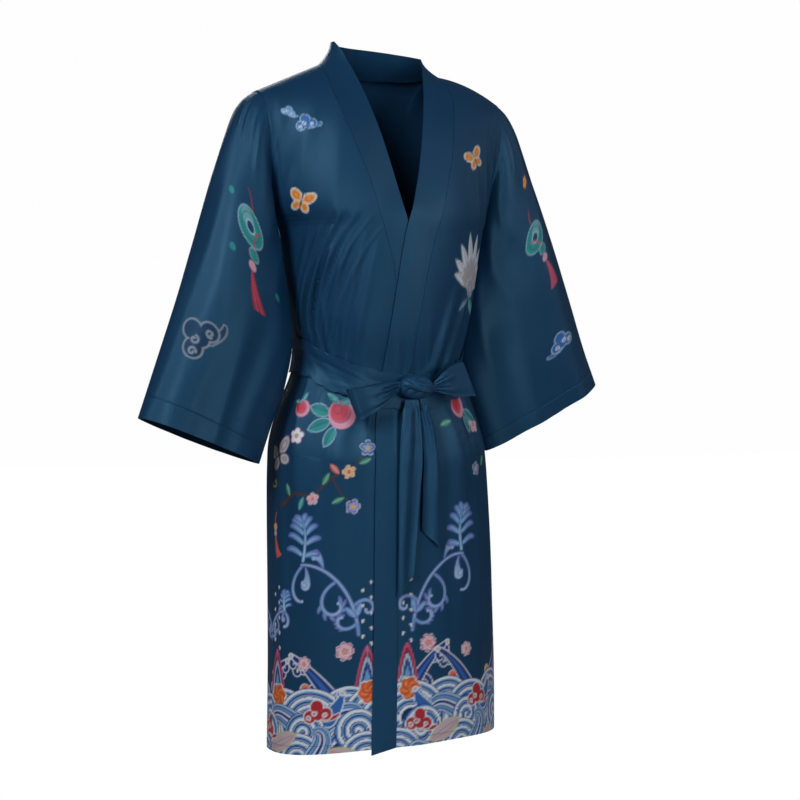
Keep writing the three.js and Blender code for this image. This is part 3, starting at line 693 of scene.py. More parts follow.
# %% [markdown]
# ## Clouds, scrolls and tassels
# Lobed clouds with curled middles, leafy scrolls, stone rings and knotted tassels are old
# ornaments that belong to no single design. A curl with an outline makes nearly all of them: a
# scroll is a curl for its stem, with smaller curls that leave it on both sides.

# %% Clouds, scrolls and tassels
def cloud(cloth, x, y, size, turn, ink, edge, spiral):
    """Three lobes, each with a curl in it, and a tail that drifts to one side"""
    c, s = np.cos(np.radians(turn)), np.sin(np.radians(turn))

    def at(a, b):
        return x + (c * a - s * b) * size, y + (s * a + c * b) * size

    line(cloth, curl(*at(0.2, -0.3), size * 1.7, turn - 14, 60, 1.4), (size * 0.2, size * 0.05),
         ink, edge, size * 0.06)
    lobes = [(0, 0.5, 0.44), (-0.58, -0.1, 0.42), (0.56, -0.06, 0.4), (0, -0.05, 0.36)]
    ids, u, v = cloth.near(x, y, size * 1.6, turn)
    away = np.min([np.hypot(u - a * size, v - b * size) - r * size for a, b, r in lobes], 0)
    cloth.lay(ids, away - size * 0.08, edge)
    cloth.lay(ids, away, ink)
    for (a, b, r), start, bend in zip(lobes, (-60, 20, 160), (-400, 400, -400)):
        inside = curl(*at(a - 0.2 * r, b - 0.62 * r), size * r * 2.9, turn + start, bend, 0.9, 26)
        line(cloth, inside, (size * 0.05, size * 0.045), spiral)


def heading_at(path, k):
    """Direction in degrees in which a path leaves one of its points"""
    return np.degrees(np.arctan2(*(path[k + 1] - path[k])[::-1]))


def plume(cloth, x, y, size, turn, side, inks=("light", "violet")):
    """A feathery spray: one long rib with pointed leaves on both sides, bent to one side"""
    rib = curl(x, y, size, turn, 40 * side, 1.2, 18)
    for at, part, lean in [(1, 0.42, 62), (4, 0.44, 50), (7, 0.4, 40), (10, 0.32, 32),
                           (13, 0.22, 24)]:
        way = heading_at(rib, at)
        for hand in (-1, 1):
            path = curl(*rib[at], size * part * (1 + 0.15 * hand * side), way + hand * lean,
                        hand * 75, 1.8, 10)
            width = size * 0.04 * np.sin(np.pi * np.linspace(0.15, 1, 10)) ** 0.7 + 0.3
            line(cloth, path, width, inks, "blue", 0.9)
            line(cloth, path[:7], (0.7, 0.4), "pale")
    line(cloth, rib, (1.9, 0.5), ("pale", "light"), "blue", 0.9)


def tendril(cloth, x, y, size, turn, bend, feather):
    """A thin shoot that winds up like a fern, with small teeth along its outer side"""
    path = curl(x, y, size, turn, bend, 1.25, 30)
    hand = -np.sign(bend)
    if feather:
        for at in range(9, 28, 3):
            way = heading_at(path, at - 1)
            line(cloth, curl(*path[at], size * 0.13, way + 58 * hand, -60 * hand, 1, 7),
                 (size * 0.022, 0.4), ("light", "violet"), "violet", 0.8)
    line(cloth, path, np.interp(np.linspace(0, 1, 30), [0, 0.7, 1], [1.7, 1.9, 0.8]),
         ("light", "pale"), "violet", 1)
    ids, u, v = cloth.near(*path[-1], 6)
    cloth.lay(ids, np.hypot(u, v) - 1.9, "pale")


def cup(cloth, x, y, size, turn, side):
    """A small half-open bud, wider at its lip"""
    path = curl(x, y, size, turn, 50 * side, 1.2, 10)
    line(cloth, path, (0.8, size * 0.19), ("light", "pale"), "violet", 0.9)
    line(cloth, curl(*path[-1], size * 0.3, turn + 110 * side, 120 * side, 1, 8),
         (size * 0.08, 0.6), "pale", "violet", 0.8)


def scroll(cloth, x, y, size, turn, side):
    """A leafy scroll: a slender S-shaped stem, fern curls, two buds and a plume at its tip"""
    stem = curl(x, y, size * 1.15, turn, 92 * side, 1.0, 30)
    heading = [heading_at(stem, k) for k in range(29)]
    tendril(cloth, *stem[5], size * 0.42, heading[5] - 62 * side, -330 * side, False)
    tendril(cloth, *stem[12], size * 0.66, heading[12] + 74 * side, 310 * side, True)
    tendril(cloth, *stem[2], size * 0.34, heading[2] + 120 * side, -240 * side, True)
    tendril(cloth, *stem[27], size * 0.5, heading[27] + 40 * side, 150 * side, False)
    line(cloth, stem, (1.9, 1.3), ("light", "light"), "violet", 1.1)
    line(cloth, stem[2:], (0.7, 0.5), "pale")
    cup(cloth, *stem[17], size * 0.2, heading[17] - 48 * side, side)
    cup(cloth, *stem[26], size * 0.22, heading[26] + 110 * side, -side)
    for lean in (-34, 30):
        leaf(cloth, *stem[3], size * 0.12, size * 0.04, heading[3] + lean, "light", "pale", "violet")
    plume(cloth, *stem[-2], size * 0.5, heading[27] - 104 * side, side)


def charm(cloth, x, y, size, turn, stone="teal", cord="red"):
    """A flat ring of carved stone on a cord"""
    line(cloth, curl(x, y + size * 0.9, size * 1.6, 90 + turn, 50, 1.2), (0.9, 0.7), cord)
    ids, u, v = cloth.near(x, y, size * 1.2)
    away = np.hypot(u, v)
    cloth.lay(ids, away - size, "pale")
    cloth.lay(ids, away - size + 1.2, stone)
    cloth.lay(ids, np.hypot(u + 0.3 * size, v - 0.3 * size) - size * 0.5, "pale", 0.35)
    cloth.lay(ids, np.abs(away - size * 0.68) - 0.6, "smoke", 0.8)
    cloth.lay(ids, away - size * 0.36, "pale")
    cloth.lay(ids, away - size * 0.28, "ground")


def tassel(cloth, x, y, size, turn, ink="red", bead="teal"):
    """A hanging knot: a cord, two beads and a fringe that sways to one side"""
    line(cloth, curl(x, y + size * 0.5, size * 0.6, 90 + turn, -60, 1), (0.9, 0.9), ink)
    for up, radius, colour in [(0.45, 0.1, bead), (0.24, 0.07, "pink")]:
        ids, u, v = cloth.near(x, y + up * size, size * 0.3)
        cloth.lay(ids, np.hypot(u, v) - radius * size - 1, "white", 0.6)
        cloth.lay(ids, np.hypot(u, v) - radius * size, colour)
    for lean in (-9, -4.5, 0, 4.5, 9):
        line(cloth, curl(x, y + size * 0.18, size * 0.95, -90 + turn + lean, 24, 1.2), (1.2, 1.9),
             "rose" if abs(lean) == 4.5 else ink)


print("ornaments ready")

# %% [markdown]
# ## Waves
# The border of the skirt is a sea: rows of arches and rolling spirals in white and blue. Both
# are stripes in disguise. On an arch the stripe follows the distance from its middle, and on a
# roller it also follows the angle, which winds it up. Crests and swells are tapering lines laid
# over one another, and rocks and leaves of foam are simple outlines.

# %% Waves
STRIPES = [(0, "white"), (0.3, "white"), (0.36, "light"), (0.5, "light"), (0.56, "indigo"),
           (0.64, "indigo"), (0.7, "blue"), (0.82, "pale"), (0.92, "indigo"), (0.97, "indigo"),
           (1, "white")]
STRIPE_AT = np.array([at for at, _ in STRIPES])
STRIPE_INK = np.array([INK[name] for _, name in STRIPES])


def stripes(phase):
    phase = np.mod(phase, 1)
    return np.stack([np.interp(phase, STRIPE_AT, STRIPE_INK[:, k]) for k in range(3)], -1)


def roller(cloth, x, y, size, turn, mirror=1):
    """A rolling wave, wound up in a spiral"""
    ids, u, v = cloth.near(x, y, size * 1.1, turn, mirror)
    away, angle = polar(u, v)
    cloth.lay(ids, away - size, "indigo")
    pitch = size / 2.6
    cloth.lay(ids, away - size + 1.1, stripes(away / pitch - angle / (2 * np.pi)))


def arch(cloth, x, y, size, turn=0, inner=0.25, pitch=11):
    """Nested arches, as on a seashell"""
    ids, u, v = cloth.near(x, y, size * 1.1, turn)
    away = np.hypot(u, v * 1.12)
    cloth.lay(ids, away - size, "indigo")
    cloth.lay(ids, away - size + 1.2, stripes((size - 1.2 - away) / pitch))
    cloth.lay(ids, away - size * inner, "navy")


def crest(cloth, x, y, size, turn, mirror, ink="indigo"):
    """A breaking crest: a tapering arm with a round tip, and foam hooks under it"""
    main = curl(x, y, size * 1.3, turn, 34 * mirror, 1.6, 24)
    for at, part, bend in [(6, 0.5, 300), (11, 0.4, -250), (15, 0.34, 300), (19, 0.24, 280)]:
        way = heading_at(main, at) + 52 * mirror
        line(cloth, curl(*main[at], size * part, way, bend * mirror, 1.3, 16), (3.6, 1.5), ink,
             "white", 1.5)
    line(cloth, main, np.interp(np.linspace(0, 1, 24), [0, 0.6, 1], [11, 4.2, 2.2]), ink,
         "white", 1.7)
    line(cloth, main[:16], (4.5, 0.8), "blue")
    ids, u, v = cloth.near(*main[-1], 9)
    cloth.lay(ids, np.hypot(u, v) - 4.6, "white")
    cloth.lay(ids, np.hypot(u, v) - 2.6, "dust")


def swell(cloth, x, y, size, turn, mirror=1):
    """A long wave seen from the side: bundled stripes that run out to one side and wind up"""
    path = curl(x, y, size * 2, turn, 200 * mirror, 2.2, 26)
    width = np.interp(np.linspace(0, 1, 26), [0, 0.5, 1], [17, 13, 4])
    for part, ink in [(1, "indigo"), (0.93, "pale"), (0.74, "indigo"), (0.62, "light"),
                      (0.42, "blue"), (0.3, "white"), (0.14, "indigo")]:
        line(cloth, path, width * part, ink)


def peak(cloth, x, y, size):
    """A small standing rock in three nested outlines, as old borders have between the waves"""
    ids, u, v = cloth.near(x, y, size * 1.2)
    for part, ink in [(1, "rose"), (0.84, "crimson"), (0.66, "pale"), (0.5, "indigo"),
                      (0.26, "light")]:
        high = np.clip(1 - v / (size * part), 0, 2)
        slope = np.abs(u) - size * 0.34 * part * high ** 0.6
        cloth.lay(ids, np.maximum(slope, np.abs(v) - size), ink)


def lens(cloth, x, y, length, width, turn):
    """A pale leaf of foam with a yellow rim and two pink lines along it"""
    leaf(cloth, x, y, length, width, turn, "dust", "dust", "yellow")
    ids, u, v = cloth.near(x, y, length, turn)
    for off in (-0.18, 0.1):
        bow = v - off * width * np.sin(np.pi * np.clip(u / length, 0, 1))
        past_ends = np.abs(u - length / 2) - length * 0.42
        cloth.lay(ids, np.maximum(np.abs(bow) - 0.6, past_ends), "rose", 0.7)


print("stripes of a wave:", len(STRIPES))

# %% [markdown]
# ## The border
# The sea is laid from the top row down to the hem, so each lower row hides the feet of the one
# above it: crests, then rocks with spray over them and flames at their feet, then arches,
# swells, rollers and leaves of foam, and last the red clouds. Their sizes and places vary a
# little by a seeded generator.

# %% The sea along the hem
def sea(cloth, left, right, seed, rocks):
    """The border between two places across, with rocks at given ones"""
    chance = np.random.default_rng(seed)

    def places(pitch, start=0.5):
        count = max(2, int(round((right - left) / pitch)))
        return left + (np.arange(-1, count + 1) + start) * (right - left) / count

    for k, x in enumerate(places(92)):
        lean = (-1) ** k
        crest(cloth, x + 26 * lean, -938, 112 + chance.uniform(-8, 10), 90 + 34 * lean, lean)
    for x in rocks:
        peak(cloth, x, -892, 46)
        for k in range(9):
            hand = (-1) ** k
            drop = curl(x + 5 * hand, -846 + 11 * k, 10 - 0.4 * k, 90 - 70 * hand, 260 * hand, 1, 8)
            line(cloth, drop, (1.5, 0.7), "white", "navy", 0.6)
    for k, x in enumerate(places(92, 0.1)):
        ids, u, v = cloth.near(x + 14, -902, 20)
        for radius, ink in [(8.4, "white"), (7.2, ("amber", "teal", "orange")[k % 3]), (4, "orange"),
                            (1.8, "red")]:
            cloth.lay(ids, np.hypot(u - (7.2 - radius) / 2, v) - radius, ink, 0.9)
    for k, x in enumerate(places(104, 0.85)):
        arch(cloth, x, -942, 50 + chance.uniform(-5, 5), chance.uniform(-20, 20), 0.3, 12)
    for k, x in enumerate(places(104, 0.3)):
        arch(cloth, x, -956 + chance.uniform(-8, 8), 56 + chance.uniform(-5, 5),
             chance.uniform(-14, 14), 0.25, 13)
    for x in rocks:
        ids, u, v = cloth.near(x + 3, -912, 40)
        away, angle = polar(u, v)
        flame = away - 17 - 1.4 * np.cos(6 * angle + away / 3)
        for off, ink in [(0, "white"), (1.6, "orange")]:
            cloth.lay(ids, flame + off, ink)
        wound = 2.5 * angle + away / 4
        cloth.lay(ids, np.maximum(flame + 3, np.abs(np.sin(wound)) * 4 - 1.2), "red", 0.7)
        cloth.lay(ids, np.maximum(flame + 5, np.abs(np.sin(wound + 1.5)) * 4 - 0.9), "amber")
    for k, x in enumerate(places(104, 0.8)):
        swell(cloth, x - 30 * (-1) ** k, -952, 44, 90 - 60 * (-1) ** k, -(-1) ** k)
    for k, x in enumerate(places(104, 0.55)):
        crest(cloth, x, -948, 44 + chance.uniform(-4, 4), 90 - 40 * (-1) ** k, (-1) ** k, "blue")
    for k, x in enumerate(places(84, 0.62)):
        roller(cloth, x, -966 + chance.uniform(-5, 5), 31 + chance.uniform(-3, 3),
               chance.uniform(0, 360), (-1) ** k)
    for k, x in enumerate(places(104, 0.1)):
        arch(cloth, x, -1000 + chance.uniform(-3, 3), 40 + chance.uniform(-2, 3), 8 * (-1) ** k,
             0.2, 12)
    for k, x in enumerate(places(104, 0.6)):
        swell(cloth, x - 26, -1002, 34, 34 * (-1) ** k + 20, (-1) ** k)
    for k, x in enumerate(places(96, 0.85)):
        lens(cloth, x - 30, -990, 60, 24, -24 * (-1) ** k)
    for k, x in enumerate(places(118, 0.42)):
        cloud(cloth, x, -950 + 12 * (-1) ** k, 21, 6 * (-1) ** k, "red", "white", "white")


print("border reaches up to about 170 mm above the hem")

# %% [markdown]
# ## Front on the wearer's right
# This front lies underneath. It is cut from the band's seam to the side seam, with a curved
# armhole. Its cloth is a grid of rows, closer together where the print is fine. The print's
# layout is made here: clouds and a butterfly on the chest, fruit and a flowering branch below
# the belt, and scrolls above the waves.

# %% Rows and the layout of a front
def row_levels(stops, count):
    """Heights of the rows from the hem up. stops are (height, distance of rows there)"""
    fine = np.linspace(HEM, 0, 4000)
    gap = np.interp(fine, [s[0] for s in stops], [s[1] for s in stops])
    passed = np.concatenate([[0], np.cumsum(1 / gap[:-1])])
    return np.interp(np.linspace(0, passed[-1], count), passed, fine)


def places_on_cloth(points, side, start):
    """Where each point lies on the flat cloth: across from the centre line, and up"""
    along = np.linalg.norm(np.diff(points, axis=1), axis=-1)
    across = np.concatenate([np.zeros((len(points), 1)), np.cumsum(along, 1)], 1)
    climb = np.linalg.norm(np.diff(points[..., 1:], axis=0), axis=-1)
    up = HEM + np.concatenate([np.zeros((1, climb.shape[1])), np.cumsum(climb, 0)])
    return np.asarray(start)[:, None] + side * across, up


FRONT_ROWS = row_levels([(HEM, 1.5), (-820, 1.5), (-640, 1.9), (-480, 1.9), (-450, 3),
                         (-390, 3), (-370, 2.2), (0, 1.8)], 541)


FRONT_COLUMNS = 127


def front_grid(side, edge_table, over):
    """Points of a front, with its side and shoulder seams drawn up to the back's"""
    seam = read(edge_table, 1, FRONT_ROWS)
    start = turn_at("front", side * seam, FRONT_ROWS)
    turns = lerp(start[:, None], side * 90, np.linspace(0, 1, FRONT_COLUMNS)[None, :])
    levels = np.broadcast_to(FRONT_ROWS[:, None], turns.shape)
    lift = overlap(turns, levels) if over else 0
    points = body("front", turns, levels, lift)
    points[:, -1, 1] += 2 * SEAM_SIDE * (1 - smoothstep(FRONT_ROWS, ARMPIT - 20, ARMPIT))
    points[-1, :, 1] += 2 * SEAM_SIDE
    return points, places_on_cloth(points, side, side * seam)


under_points, (across, up) = front_grid(-1, UNDER_EDGE, False)
cloth = Cloth(across, up)
scroll(cloth, -84, -838, 180, 92, 1)
scroll(cloth, -236, -836, 76, 84, -1)
sea(cloth, -290, 20, 3, (-72, -216))
peony(cloth, -104, -852, 14, 10)
peony(cloth, -164, -866, 11, 40, "rose", "pink")
line(cloth, [(-205, -640), (-180, -622), (-150, -628), (-122, -604), (-96, -596), (-70, -570)],
     (2.6, 1.1), "brown")
line(cloth, [(-122, -604), (-108, -630), (-92, -646)], (1.6, 0.8), "brown")
for x, y, size, turn, ink, heart in [
    (-70, -566, 12, 12, "blue", "amber"), (-98, -598, 10, 30, "amber", "red"),
    (-92, -648, 11, 0, "violet", "amber"), (-150, -632, 9, 22, "pink", "rose"),
]:
    blossom(cloth, x, y, size, turn, ink, heart)
for x, y, turn, ink in [
    (-84, -588, 20, "green"), (-112, -600, 130, "orange"), (-136, -614, 60, "green"),
    (-164, -628, 250, "teal"), (-188, -626, 110, "green"), (-104, -634, 200, "green"),
]:
    leaf(cloth, x, y, 20, 8, turn, ink)
leaf(cloth, -124, -512, 36, 17, 158, "teal", "navy", "pale")
leaf(cloth, -124, -522, 38, 17, 196, "teal", "navy", "pale")
leaf(cloth, -118, -532, 32, 15, 238, "teal", "navy", "pale")
fruit(cloth, -106, -514, 22, -12)
fruit(cloth, -172, -500, 13, 24)
blossom(cloth, -178, -540, 12, 8, "white", "rose", "pink")
butterfly(cloth, -214, -566, 28, 20, "dust", "grey", "smoke")
line(cloth, curl(-236, -600, 46, -80, 320, 1.3), (1, 0.7), "yellow")
tassel(cloth, -222, -690, 44, 12, "orange", "amber")
butterfly(cloth, -168, -206, 19, -20, "amber", "orange", "white")
cloud(cloth, -150, -96, 15, 8, "blue", "pale", "white")
cloud(cloth, -174, -76, 10, -20, "light", "pale", "white")
under_ink = cloth.ink
print("front, right: print laid on", under_points[..., 0].size, "points")

# %% [markdown]
# The points and their inks now become a mesh. The columns of this front run from the middle to
# the wearer's right, which would turn its faces inwards, so they are flipped.

# %% Front on the wearer's right
front_under = sheet_object("cloth_front_under", "front_under", under_points,
                           1.3, (0.24, 1.02), flip=True, inks=under_ink)

# %% [markdown]
# ## Front on the wearer's left
# The same cut mirrored, but this one lies on top, so its free edge is raised clear of the cloth
# beneath it. At the side seam it isn't raised, and both fronts meet the back alike.

# %% Front on the wearer's left
over_points, (across, up) = front_grid(1, OVER_EDGE, True)
cloth = Cloth(across, up)
scroll(cloth, -4, -838, 184, 86, -1)
scroll(cloth, 240, -836, 76, 96, 1)
sea(cloth, -40, 290, 8, (-12, 206))
peony(cloth, 22, -850, 14, 20)
peony(cloth, 92, -866, 11, 60)
fruit(cloth, 98, -508, 18, 16)
blossom(cloth, 134, -536, 12, 20, "pink", "rose")
leaf(cloth, 116, -514, 30, 13, -34, "teal", "navy", "pale")
leaf(cloth, 112, -524, 24, 11, -72, "teal", "navy", "pale")
leaf(cloth, 72, -530, 22, 9, 200, "green")
line(cloth, [(232, -610), (204, -598), (176, -612), (150, -594), (122, -600)], (2.4, 1), "brown")
for x, y, size, ink, heart in [(120, -602, 10, "blue", "amber"), (178, -616, 11, "pink", "rose"),
                               (206, -592, 9, "amber", "red")]:
    blossom(cloth, x, y, size, 14, ink, heart)
for x, y, turn in [(140, -598, 70), (164, -606, -60), (192, -602, 100), (218, -604, -80)]:
    leaf(cloth, x, y, 18, 7, turn, "green")
tassel(cloth, 214, -690, 44, -10, "rose", "teal")
butterfly(cloth, 122, -136, 20, 26, "amber", "orange", "white")
for turn in range(-70, 71, 20):
    leaf(cloth, 120, -330, 84 - abs(turn) * 0.5, 15, 90 + turn, "white", "grey", "grey")
for turn in range(-56, 57, 16):
    leaf(cloth, 120, -334, 50 - abs(turn) * 0.3, 12, 90 + turn, "dust", "grey", "grey")
blossom(cloth, 120, -332, 15, 0, "grey", "dust", "white", 8)
leaf(cloth, 120, -346, 38, 14, -50, "teal", "pale")
leaf(cloth, 116, -346, 34, 13, -140, "smoke", "pale")
front_over = sheet_object("cloth_front_over", "front_over", over_points,
                          1.3, (0.25, 1.02), flip=False, inks=cloth.ink)

# %% [markdown]
# ## Back
# One piece from side seam to side seam, with a shallow neckline. It isn't in view from the
# front, so it is finished plainly in the same cloth: the border runs on round the hem with
# scrolls above it, fruit and short branches lie below the belt, and a white flower, two
# butterflies and two clouds above it.

# %% Back
BACK_ROWS = row_levels([(HEM, 1.9), (-820, 2), (-640, 2.6), (-450, 3), (-390, 4), (-300, 3.4),
                        (0, 2.6)], 361)


def back_turns(half_neck, half_side):
    """Turns of the columns: evenly spaced over the neckline and over each shoulder"""
    part = np.linspace(0, 1, half_neck + 1)
    neck = turn_at("back", 0.999 * NECK_HALF * np.sin(np.radians(90 * part)), 0)
    side = np.linspace(turn_at("back", NECK_HALF, 0), 90, half_side + 1)[1:]
    half = np.concatenate([neck, side])
    return np.concatenate([-half[:0:-1], half])


turns = back_turns(57, 51)
levels = np.broadcast_to(BACK_ROWS[:, None], (len(BACK_ROWS), len(turns)))
back_points = body("back", np.broadcast_to(turns, levels.shape), levels)
across, up = places_on_cloth(back_points, 1, np.zeros(len(levels)))
across = across[:, [len(turns) // 2]] - across
cloth = Cloth(across, up)
scroll(cloth, -46, -838, 180, 98, 1)
scroll(cloth, 50, -838, 184, 82, -1)
scroll(cloth, -230, -838, 76, 84, -1)
scroll(cloth, 234, -838, 76, 96, 1)
sea(cloth, -300, 300, 15, (-150, -6, 138))
peony(cloth, 0, -820, 22, 0)
for side in (-1, 1):
    peony(cloth, side * 132, -842, 16, 30)
    fruit(cloth, side * 104, -540, 15, 14 * side)
    fruit(cloth, side * 74, -524, 11, -20 * side)
    line(cloth, [(side * 190, -606), (side * 160, -590), (side * 132, -604), (side * 100, -588)],
         (2.4, 1), "brown")
    for x, y, size, ink in [(98, -586, 11, "blue"), (134, -608, 10, "amber"), (164, -588, 10, "pink")]:
        blossom(cloth, side * x, y, size, 16, ink, "rose")
    for x, turn in [(112, 60), (148, -50), (178, 80)]:
        leaf(cloth, side * x, -598, 19, 8, 90 + side * (turn - 90), "green")
    cloud(cloth, side * 150, -110, 14, 8 * side, "blue", "pale", "white")
    butterfly(cloth, side * 112, -352, 15, -18 * side, "amber", "orange")
for turn in range(-80, 81, 20):
    leaf(cloth, 0, -236, 58 - abs(turn) * 0.25, 11, 90 + turn, "white", "grey", "grey")
peony(cloth, 0, -238, 20, 0, "dust", "white")
leaf(cloth, 6, -250, 36, 13, -40, "teal")
leaf(cloth, -6, -250, 36, 13, -140, "teal")
back = sheet_object("cloth_back", "back", back_points, 1.3, (0.48, 1.03),
                    flip=True, inks=cloth.ink)

# %% [markdown]
# ## The band
# A plain band, folded double, edges the robe from hem to hem round the neck. It is made in two
# halves that meet at the centre of the back neck. Round the neck it stands up a little, and
# down the front it lies on the same surface as the cloth that it is sewn to.

# %% Band
BAND_COLUMNS, BEHIND_ROWS, DOWN_ROWS = 16, 30, 343


def hollow(base, edge, part, amount):
    """Points from a seam to a free edge, with a slight hollow between them"""
    away = unit(base * np.array([1, 1, 0]))
    dip = (4 * part * (1 - part) * amount)[..., None]
    return lerp(base, edge, part[..., None]) - away * dip


def band_grid(side, edges, stand, over):
    """Half of the band: the part behind the neck, then the part down the front to the hem"""
    parts = np.linspace(0.012, 1, BAND_COLUMNS)[None, :]
    angle = np.radians(np.linspace(0, 90, BEHIND_ROWS + 1)[:-1])
    s, c = np.sin(angle), np.cos(angle)
    last_edge, last_y, last_z = edges[-1, 2], stand[-1, 1], stand[-1, 2]
    base = np.stack([side * NECK_HALF * s, BACK_NECK_DEPTH * c + SEAM_SIDE,
                     NECK_Z - 0.8 * c + BACK_NECK_RISE * c * c], -1)
    edge = np.stack([side * lerp(last_edge, BACK_BAND_HALF, c) * s,
                     lerp(last_y, BACK_BAND_DEEP, c), lerp(last_z, BACK_BAND_Z, c)], -1)
    m = np.broadcast_to(parts, (BEHIND_ROWS, BAND_COLUMNS))
    behind = hollow(base[:, None], edge[:, None], m, np.full(m.shape, BACK_BAND_HOLLOW))
    level = row_levels([(HEM, 3), (-300, 3), (0, 2.4)], DOWN_ROWS)[::-1]
    m = np.broadcast_to(parts, (DOWN_ROWS, BAND_COLUMNS))
    seam, free = read(edges, 1, level), read(edges, 2, level)
    levels = np.broadcast_to(level[:, None], m.shape)
    turns = turn_at("front", side * lerp(seam[:, None], free[:, None], m), levels)
    low = body("front", turns, levels, overlap(turns, levels) if over else np.zeros(m.shape))
    low[..., 2] += BAND_PULL * m * smoothstep(levels, -330, ARMPIT)
    if over:
        low[..., 2] -= CORNER_DROOP * m * (1 - smoothstep(levels, HEM, -880))
    start = turn_at("front", side * seam, level)
    base = body("front", start, level, overlap(start, level) if over else np.zeros(len(level)))
    tip = np.stack([side * free, read(stand, 1, level), read(stand, 2, level)], -1)
    amount = BACK_BAND_HOLLOW * smoothstep(levels, -150, 0)
    high = hollow(base[:, None], tip[:, None], m, amount)
    blend = smoothstep(levels, ARMPIT - 4, ARMPIT + 34)[..., None]
    return np.concatenate([behind, lerp(low, high, blend)])


band_under_points = band_grid(-1, UNDER_EDGE, UNDER_STAND, False)
band_over_points = band_grid(1, OVER_EDGE, OVER_STAND, True)
neckband_under = sheet_object("cloth_neckband_under", "neckband_under",
                              band_under_points, 1.5, (0.04, 1.2), flip=True)
neckband_over = sheet_object("cloth_neckband_over", "neckband_over",
                             band_over_points, 1.5, (0.04, 1.2), flip=False)

# %% [markdown]
# ## Sleeves
# Wide sleeves cut in one piece with a seam under the arm. Each is a tube of rings from the
# armhole to the cuff. The two arms aren't held alike, so each sleeve has its own upper and
# lower fold line. Each row of these tables says how far along the sleeve it is, from 0 to 1,
# and where both lines lie there. A crease has a start and an end in degrees round the sleeve,
# the two places along it, a depth and a width. Creases fan out from under the arm, and short
# gathers sit at the shoulder.

# %% Sizes and creases of the sleeves
SLEEVE_RIGHT = np.array([
    (0, 200, -42, 167, -231), (0.05, 219, -58, 165, -246), (0.12, 234, -84, 162, -268),
    (0.3, 264, -160, 154, -330), (0.5, 298, -267, 148, -400), (0.7, 329, -357, 162, -466),
    (0.86, 357, -438, 184, -524), (1, 382, -511, 203, -578),
])
SLEEVE_LEFT = np.array([
    (0, 200, -27, 167, -231), (0.05, 217, -41, 165, -246), (0.12, 234, -66, 162, -268),
    (0.3, 268, -142, 154, -330), (0.5, 309, -237, 150, -398), (0.7, 345, -327, 160, -460),
    (0.86, 373, -401, 179, -515), (1, 399, -459, 197, -566),
])
SLEEVE_DEPTH = np.array([
    (0, 45, 42, 0), (0.12, 50, 49, 4), (0.3, 52, 51, 10), (0.5, 54, 52, 16), (0.7, 50, 49, 21),
    (1, 39, 41, 24),
])
SLEEVE_CREASES = {
    "right": [
        (22, 24, 0.01, 0.15, 1.8, 4), (37, 40, 0.01, 0.19, 2, 4.5), (54, 55, 0.01, 0.14, 1.6, 4),
        (72, 68, 0.02, 0.22, 1.8, 5), (150, 108, 0.03, 0.5, 2.6, 9), (132, 78, 0.05, 0.42, 2, 8),
        (166, 140, 0.08, 0.85, 2.2, 9), (120, 118, 0.45, 1, 1.8, 10), (62, 66, 0.4, 1, 1.6, 9),
        (30, 24, 0.3, 0.95, 1.4, 8), (205, 240, 0.04, 0.6, 2.6, 9), (225, 262, 0.05, 0.45, 2, 8),
        (280, 276, 0.3, 1, 1.8, 10), (320, 322, 0.02, 0.25, 1.8, 5), (338, 337, 0.01, 0.18, 1.6, 4),
        (250, 246, 0.55, 1, 1.4, 8), (90, 94, 0.62, 1, 1.2, 6), (46, 52, 0.1, 1, 5, 20),
        (104, 112, 0.2, 1, -4, 16),
    ],
    "left": [
        (18, 22, 0.01, 0.17, 1.7, 4), (33, 36, 0.01, 0.14, 1.8, 4), (50, 47, 0.01, 0.22, 1.8, 5),
        (68, 72, 0.02, 0.16, 1.4, 4), (146, 96, 0.03, 0.55, 3, 9), (128, 64, 0.05, 0.46, 2.4, 8),
        (160, 124, 0.06, 0.8, 2.6, 9), (104, 100, 0.5, 1, 2.2, 10), (50, 56, 0.35, 1, 1.8, 9),
        (22, 18, 0.3, 0.9, 1.4, 8), (208, 246, 0.04, 0.6, 2.6, 9), (228, 270, 0.05, 0.42, 2.2, 8),
        (284, 280, 0.3, 1, 1.8, 10), (318, 322, 0.02, 0.2, 1.8, 5), (340, 338, 0.01, 0.15, 1.4, 4),
        (256, 250, 0.5, 1, 1.6, 8), (80, 84, 0.7, 1, 1.4, 6), (60, 54, 0.1, 1, 4, 20),
        (112, 118, 0.2, 1, -3.5, 16),
    ],
}
AHEAD = {"right": 1, "left": -0.5}
SLEEVE_LENGTH, CUFF_HEM = 520, 30
STITCHED = 1 - CUFF_HEM / SLEEVE_LENGTH
print("creases on a sleeve:", len(SLEEVE_CREASES["right"]))

# %% [markdown]
# ## Surface of a sleeve
# A ring of the sleeve is a flattened circle between the two fold lines. Its first rings are
# drawn over to the armhole's own curve, so that the seam closes, and its front face is skewed a
# little, because a hanging sleeve turns its inner half away from the light.

# %% Sleeve surface
SEATED_DEEP, CLEAR_ABOVE, CLEAR_BELOW = 0.7, 0.4, 1.6
SKEW = 0.28


def crease_height(creases, angle, reach):
    height = np.zeros(angle.shape)
    for start, end, first, last, depth, width in creases:
        along = np.clip((reach - first) / (last - first), 0, 1)
        fade = np.abs(np.sin(np.pi * along)) ** 0.8
        if last >= 1:
            fade = smoothstep(along, 0, 0.5)
        off = (((angle - lerp(start, end, along) + 180) % 360 - 180) / width) ** 2
        height = height + depth * fade * (np.exp(-off) - 0.45 * np.exp(-off / 5))
    return height


